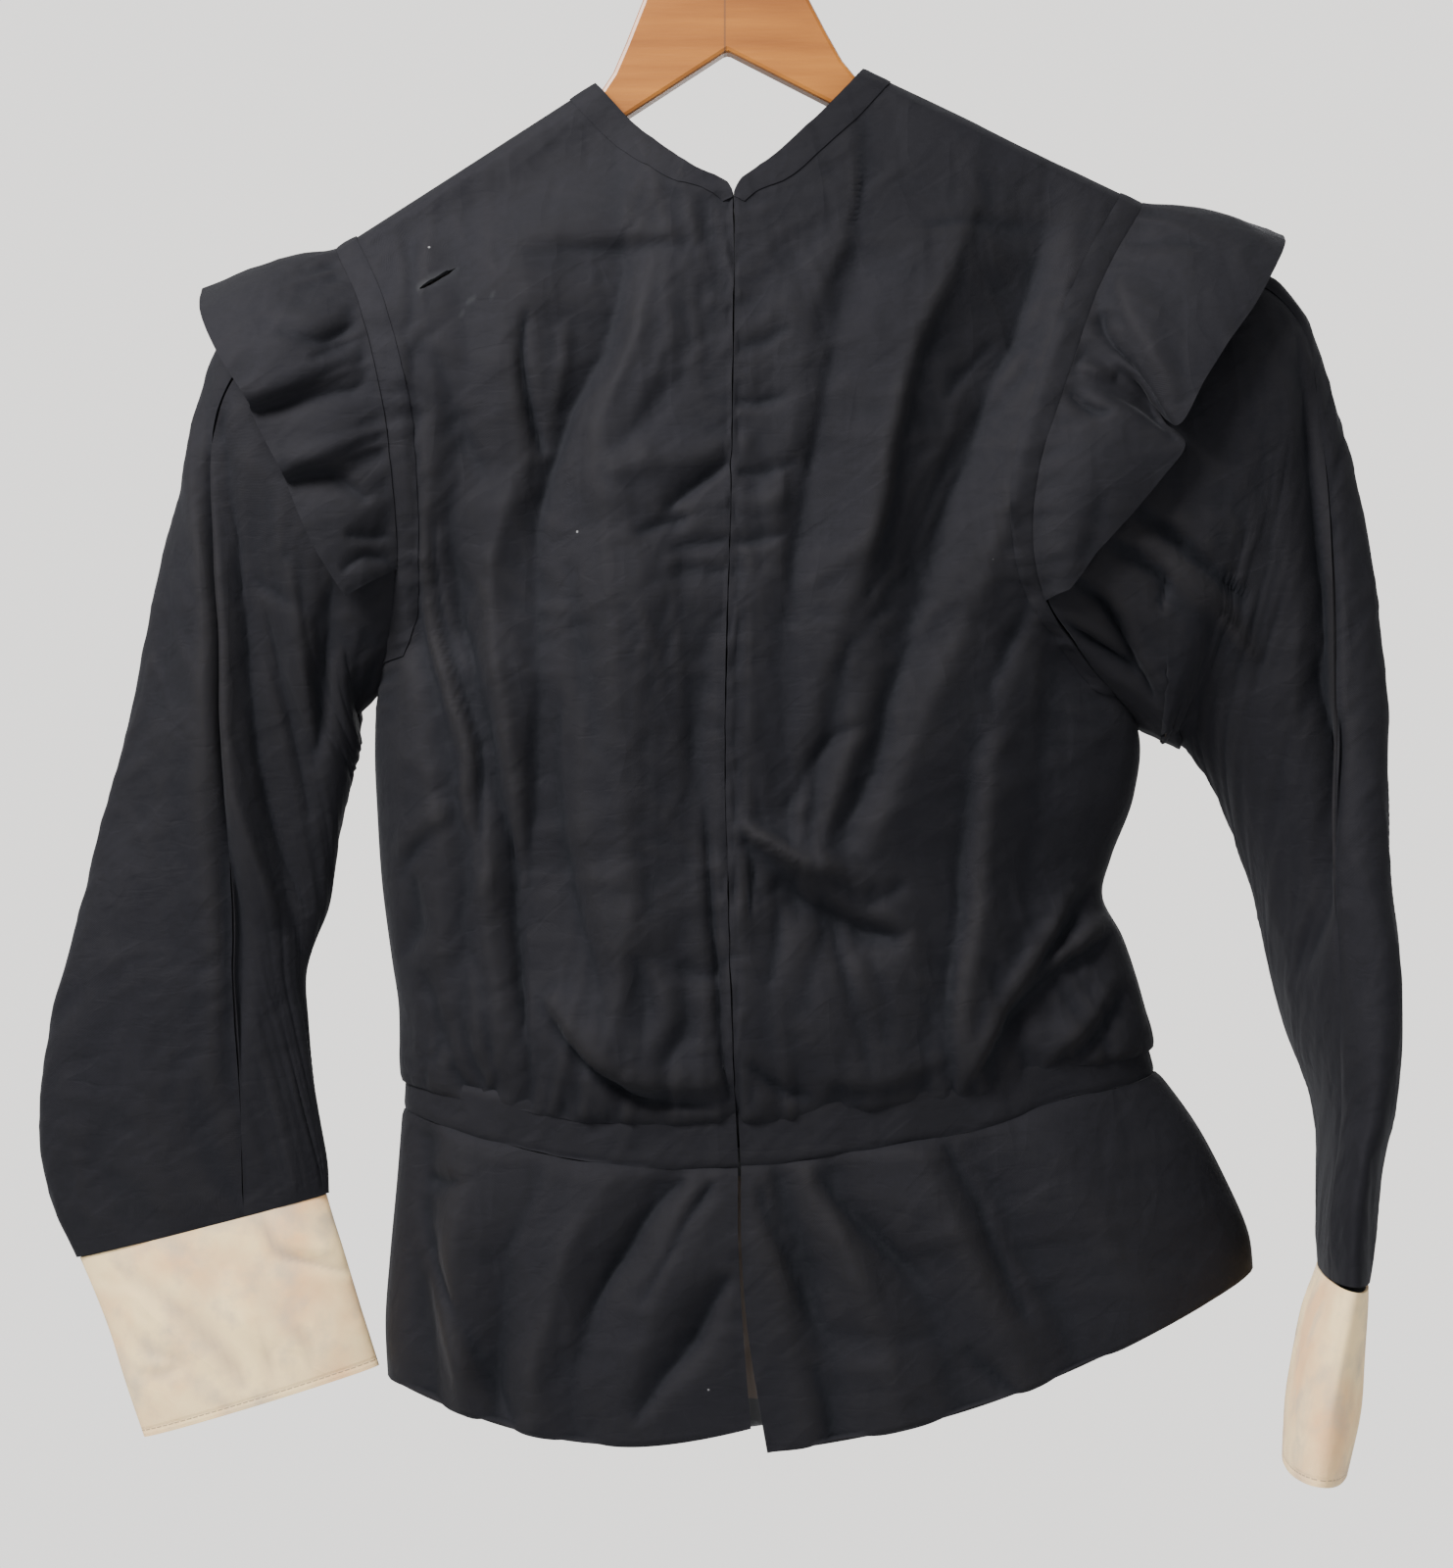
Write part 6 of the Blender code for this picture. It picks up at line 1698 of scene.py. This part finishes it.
# %% Long folds of the peplum
PEPLUM_LONG_FOLDS = {
    "right": (
        ("opening", ((12, 580, 0), (18, 700, 0))),
        ("centre crest", ((-4, 580, 0.8), (-14, 620, 3.2), (-26, 660, 2.6), (-30, 700, 1))),
        ("centre valley", ((-14, 580, -2.4), (-36, 622, -5.4), (-52, 660, -3.5), (-58, 700, -1.3))),
        ("middle crest", ((-38, 580, 1.6), (-58, 620, 3.5), (-70, 660, 3.8), (-74, 700, 1.9))),
        ("side valley", ((-70, 580, -1.3), (-82, 620, -3.2), (-88, 670, -5.8), (-88, 700, -2.6))),
        ("side crest", ((-104, 580, 2.2), (-104, 622, 6.4), (-102, 660, 4.5), (-102, 700, 1.6))),
        ("side hollow", ((-120, 580, -2.9), (-118, 625, -4.8), (-116, 665, -5.8), (-114, 700, -1.9))),
        ("side", ((-136, 560, 0), (-138, 700, 0))),
    ),
    "left": (
        ("opening", ((13, 580, 0), (24, 710, 0))),
        ("first crest", ((20, 580, 1), (32, 620, 1.9), (38, 660, 1.9), (42, 705, 0.6))),
        ("first valley", ((24, 580, -2.4), (42, 622, -5.8), (52, 660, -4.2), (58, 705, -1.6))),
        ("middle crest", ((36, 580, 2.2), (60, 620, 4.5), (76, 660, 3.2), (84, 705, 1.3))),
        ("middle valley", ((46, 580, -2.4), (78, 620, -5.4), (100, 655, -3.2), (108, 700, -1.3))),
        ("side crest", ((84, 575, 1.9), (104, 610, 4.2), (126, 650, 3.2), (134, 690, 1.3))),
        ("side valley", ((106, 570, -2.2), (126, 605, -4.8), (148, 645, -4.8), (158, 680, -1.6))),
        ("far crest", ((140, 560, 1), (158, 600, 3.8), (180, 635, 3.8), (190, 665, 1.3))),
        ("side", ((192, 530, 0), (210, 570, 0), (224, 600, 0), (234, 640, 0))),
    ),
}
BACK_PEPLUM_LONG_FOLDS = {
    "right": (
        ("middle", ((12, 560, -1), (12, 640, -3), (16, 700, -3))),
        ("crest", ((-30, 560, 0.5), (-34, 640, 3), (-38, 700, 3.5))),
        ("valley", ((-62, 560, -1), (-64, 640, -3), (-68, 700, -3.5))),
        ("side crest", ((-96, 560, 1), (-100, 640, 3), (-104, 700, 3))),
        ("side", ((-136, 560, 0), (-138, 700, 0))),
    ),
    "left": (
        ("middle", ((12, 560, -1), (12, 640, -3), (16, 700, -3))),
        ("crest", ((44, 560, 0.5), (50, 640, 3), (56, 700, 3.5))),
        ("valley", ((82, 560, -1), (94, 620, -3), (104, 700, -3.5))),
        ("side crest", ((120, 560, 1), (140, 620, 3), (156, 680, 3))),
        ("side valley", ((150, 555, -1), (174, 600, -2.6), (192, 660, -2.4))),
        ("side", ((192, 530, 0), (210, 570, 0), (224, 600, 0), (234, 640, 0))),
    ),
}
print("long folds:", {side: len(lines) for side, lines in PEPLUM_LONG_FOLDS.items()})

# %% Short folds of the peplum
PEPLUM_CREASES = (
    ("right top crease", ((-121, 592), (-113, 593), (-104, 592)), 4, 3, -3.2, 1.5),
    ("right side light", ((-126, 600), (-112, 640), (-92, 684)), 6, 4, 3.4, 1.6),
    ("right side crease", ((-118, 612), (-104, 646), (-80, 690)), 4, 9, -4.2, 1.4),
    ("right centre fold", ((-10, 586), (-37, 625), (-54, 652)), 4, 5, -3.8, 1.3, 0.3),
    ("right thin fold", ((2, 588), (-9, 609), (-28, 642)), 3, 4, -2.9, 1.3, 0.3),
    ("right slit hollow", ((11, 626), (0, 650), (-14, 667), (-30, 688)), 10, 5, -7, 1.6, 0.4),
    ("left first fold", ((20, 590), (37, 629), (50, 652)), 4, 6, -4.8, 1.3, 0.3),
    ("left middle fold", ((42, 586), (65, 610), (96, 634)), 6, 4, -4.5, 1.3, 0.3),
    ("left side fold", ((96, 570), (121, 618), (136, 650)), 5, 4, -4.2, 1.3, 0.3),
    ("left hem fold", ((106, 656), (118, 668), (130, 680)), 4, 4, -2.9, 1.4),
    ("left hem crease", ((45, 662), (50, 684), (53, 706)), 4, 4, -2.9, 1.4),
    ("left patch", ((46, 648), (74, 655), (102, 652)), 9, 6, -1.6, 1.8),
)
BACK_PEPLUM_CREASES = (
    ("right fold", ((-52, 570), (-56, 610), (-62, 650)), 4, 5, -2.4, 1.3, 0.3),
    ("left fold", ((60, 566), (68, 606), (80, 640)), 4, 5, -2.4, 1.3, 0.3),
)
print("short folds:", len(PEPLUM_CREASES) + len(BACK_PEPLUM_CREASES))

# %% Waistband and peplum
SKIRT_COUNTS, BACK_SKIRT_COUNTS = (4, 72, 6), (3, 46, 5)


def around_waist(piece, right, left, spacing, lower, in_front, behind, seed, rough, seam_rows):
    """The two fronts and the back of a strip round the waist. lower says how much further the back hangs."""
    places = even_places(right, spacing)
    how = {"rough": rough, "seam_rows": seam_rows}
    folds, creases = in_front
    for k, (name, half) in enumerate((("right", right), ("left", left))):
        grid, crest = panel(half, places, SKIRT_COUNTS, -1, folds.get(name), creases, seed + k, **how)
        sheet(f"{piece}_{name}", grid, (0, -1, 0), crest)
    everywhere = np.ones(len(places), bool)
    sections = back_sections(right, left, lower=lower)
    halves = back_halves(sections, places, BACK_SKIRT_COUNTS, *behind, seed + 5, everywhere, **how)
    joined_halves(f"{piece}_back", halves, everywhere)


plain = ({}, ())
around_waist("waistband", WAISTBAND_RIGHT, WAISTBAND_LEFT, 1.6, 0.0, plain, plain, 101, 0.5, (0, -1))
in_front, behind = (PEPLUM_LONG_FOLDS, PEPLUM_CREASES), (BACK_PEPLUM_LONG_FOLDS, BACK_PEPLUM_CREASES)
around_waist("peplum", PEPLUM_RIGHT, PEPLUM_LEFT, SPACING, 12.0, in_front, behind, 111, 0.8, (-1,))

# %% [markdown]
# ## How the cloth was cut
#
# Before it is sewn, every piece is flat. Its cut is as wide as its widest row and as long as its longest
# column, measured along the cloth and its folds, and it has the area of the cloth between its edges.

# %% Sheets of cloth
BODY = ("cloth_front_right", "cloth_front_left", "cloth_back")
HELD = {
    "front": ("hung", ("hanger_wood",)),
    "back": ("hung", ("hanger_wood",)),
    "neck": ("laid", BODY),
    "armhole": ("laid", BODY),
    "sleeve": ("hung", BODY),
    "cuff": ("folded", ("cloth_sleeve_upper_{side}", "cloth_sleeve_under_{side}")),
    "ruffle": ("gathered", ("cloth_sleeve_upper_{side}", "cloth_armhole_band_{side}")),
    "waistband": ("hung", BODY),
    "peplum": ("hung", ("cloth_waistband_right", "cloth_waistband_left", "cloth_waistband_back")),
}
NARROWEST = 0.35  # least share of its cut that a slanting piece covers
CUT_STEP = 5  # millimetres to which a cut is rounded up

for obj in [obj for obj in bpy.data.objects if obj.name.startswith("cloth_")]:
    words = obj.name.split("_")
    held, rests_on = HELD[words[1]]
    area = sum(polygon.area for polygon in obj.data.polygons)
    (width, length), covered = cut_size[obj.name], area / MM**2
    width = min(width, covered / (NARROWEST * length))  # a slanting piece is cut from a narrower strip
    sizes = (width, max(length, covered / width))
    width, length = (math.ceil(size / CUT_STEP) * CUT_STEP * MM for size in sizes)
    rests_on = [rest.format(side=words[-1]) for rest in rests_on]
    print(f"{obj.name}: cut {width * 1000:.0f} by {length * 1000:.0f} mm, {area * 1e4:.0f} square cm")
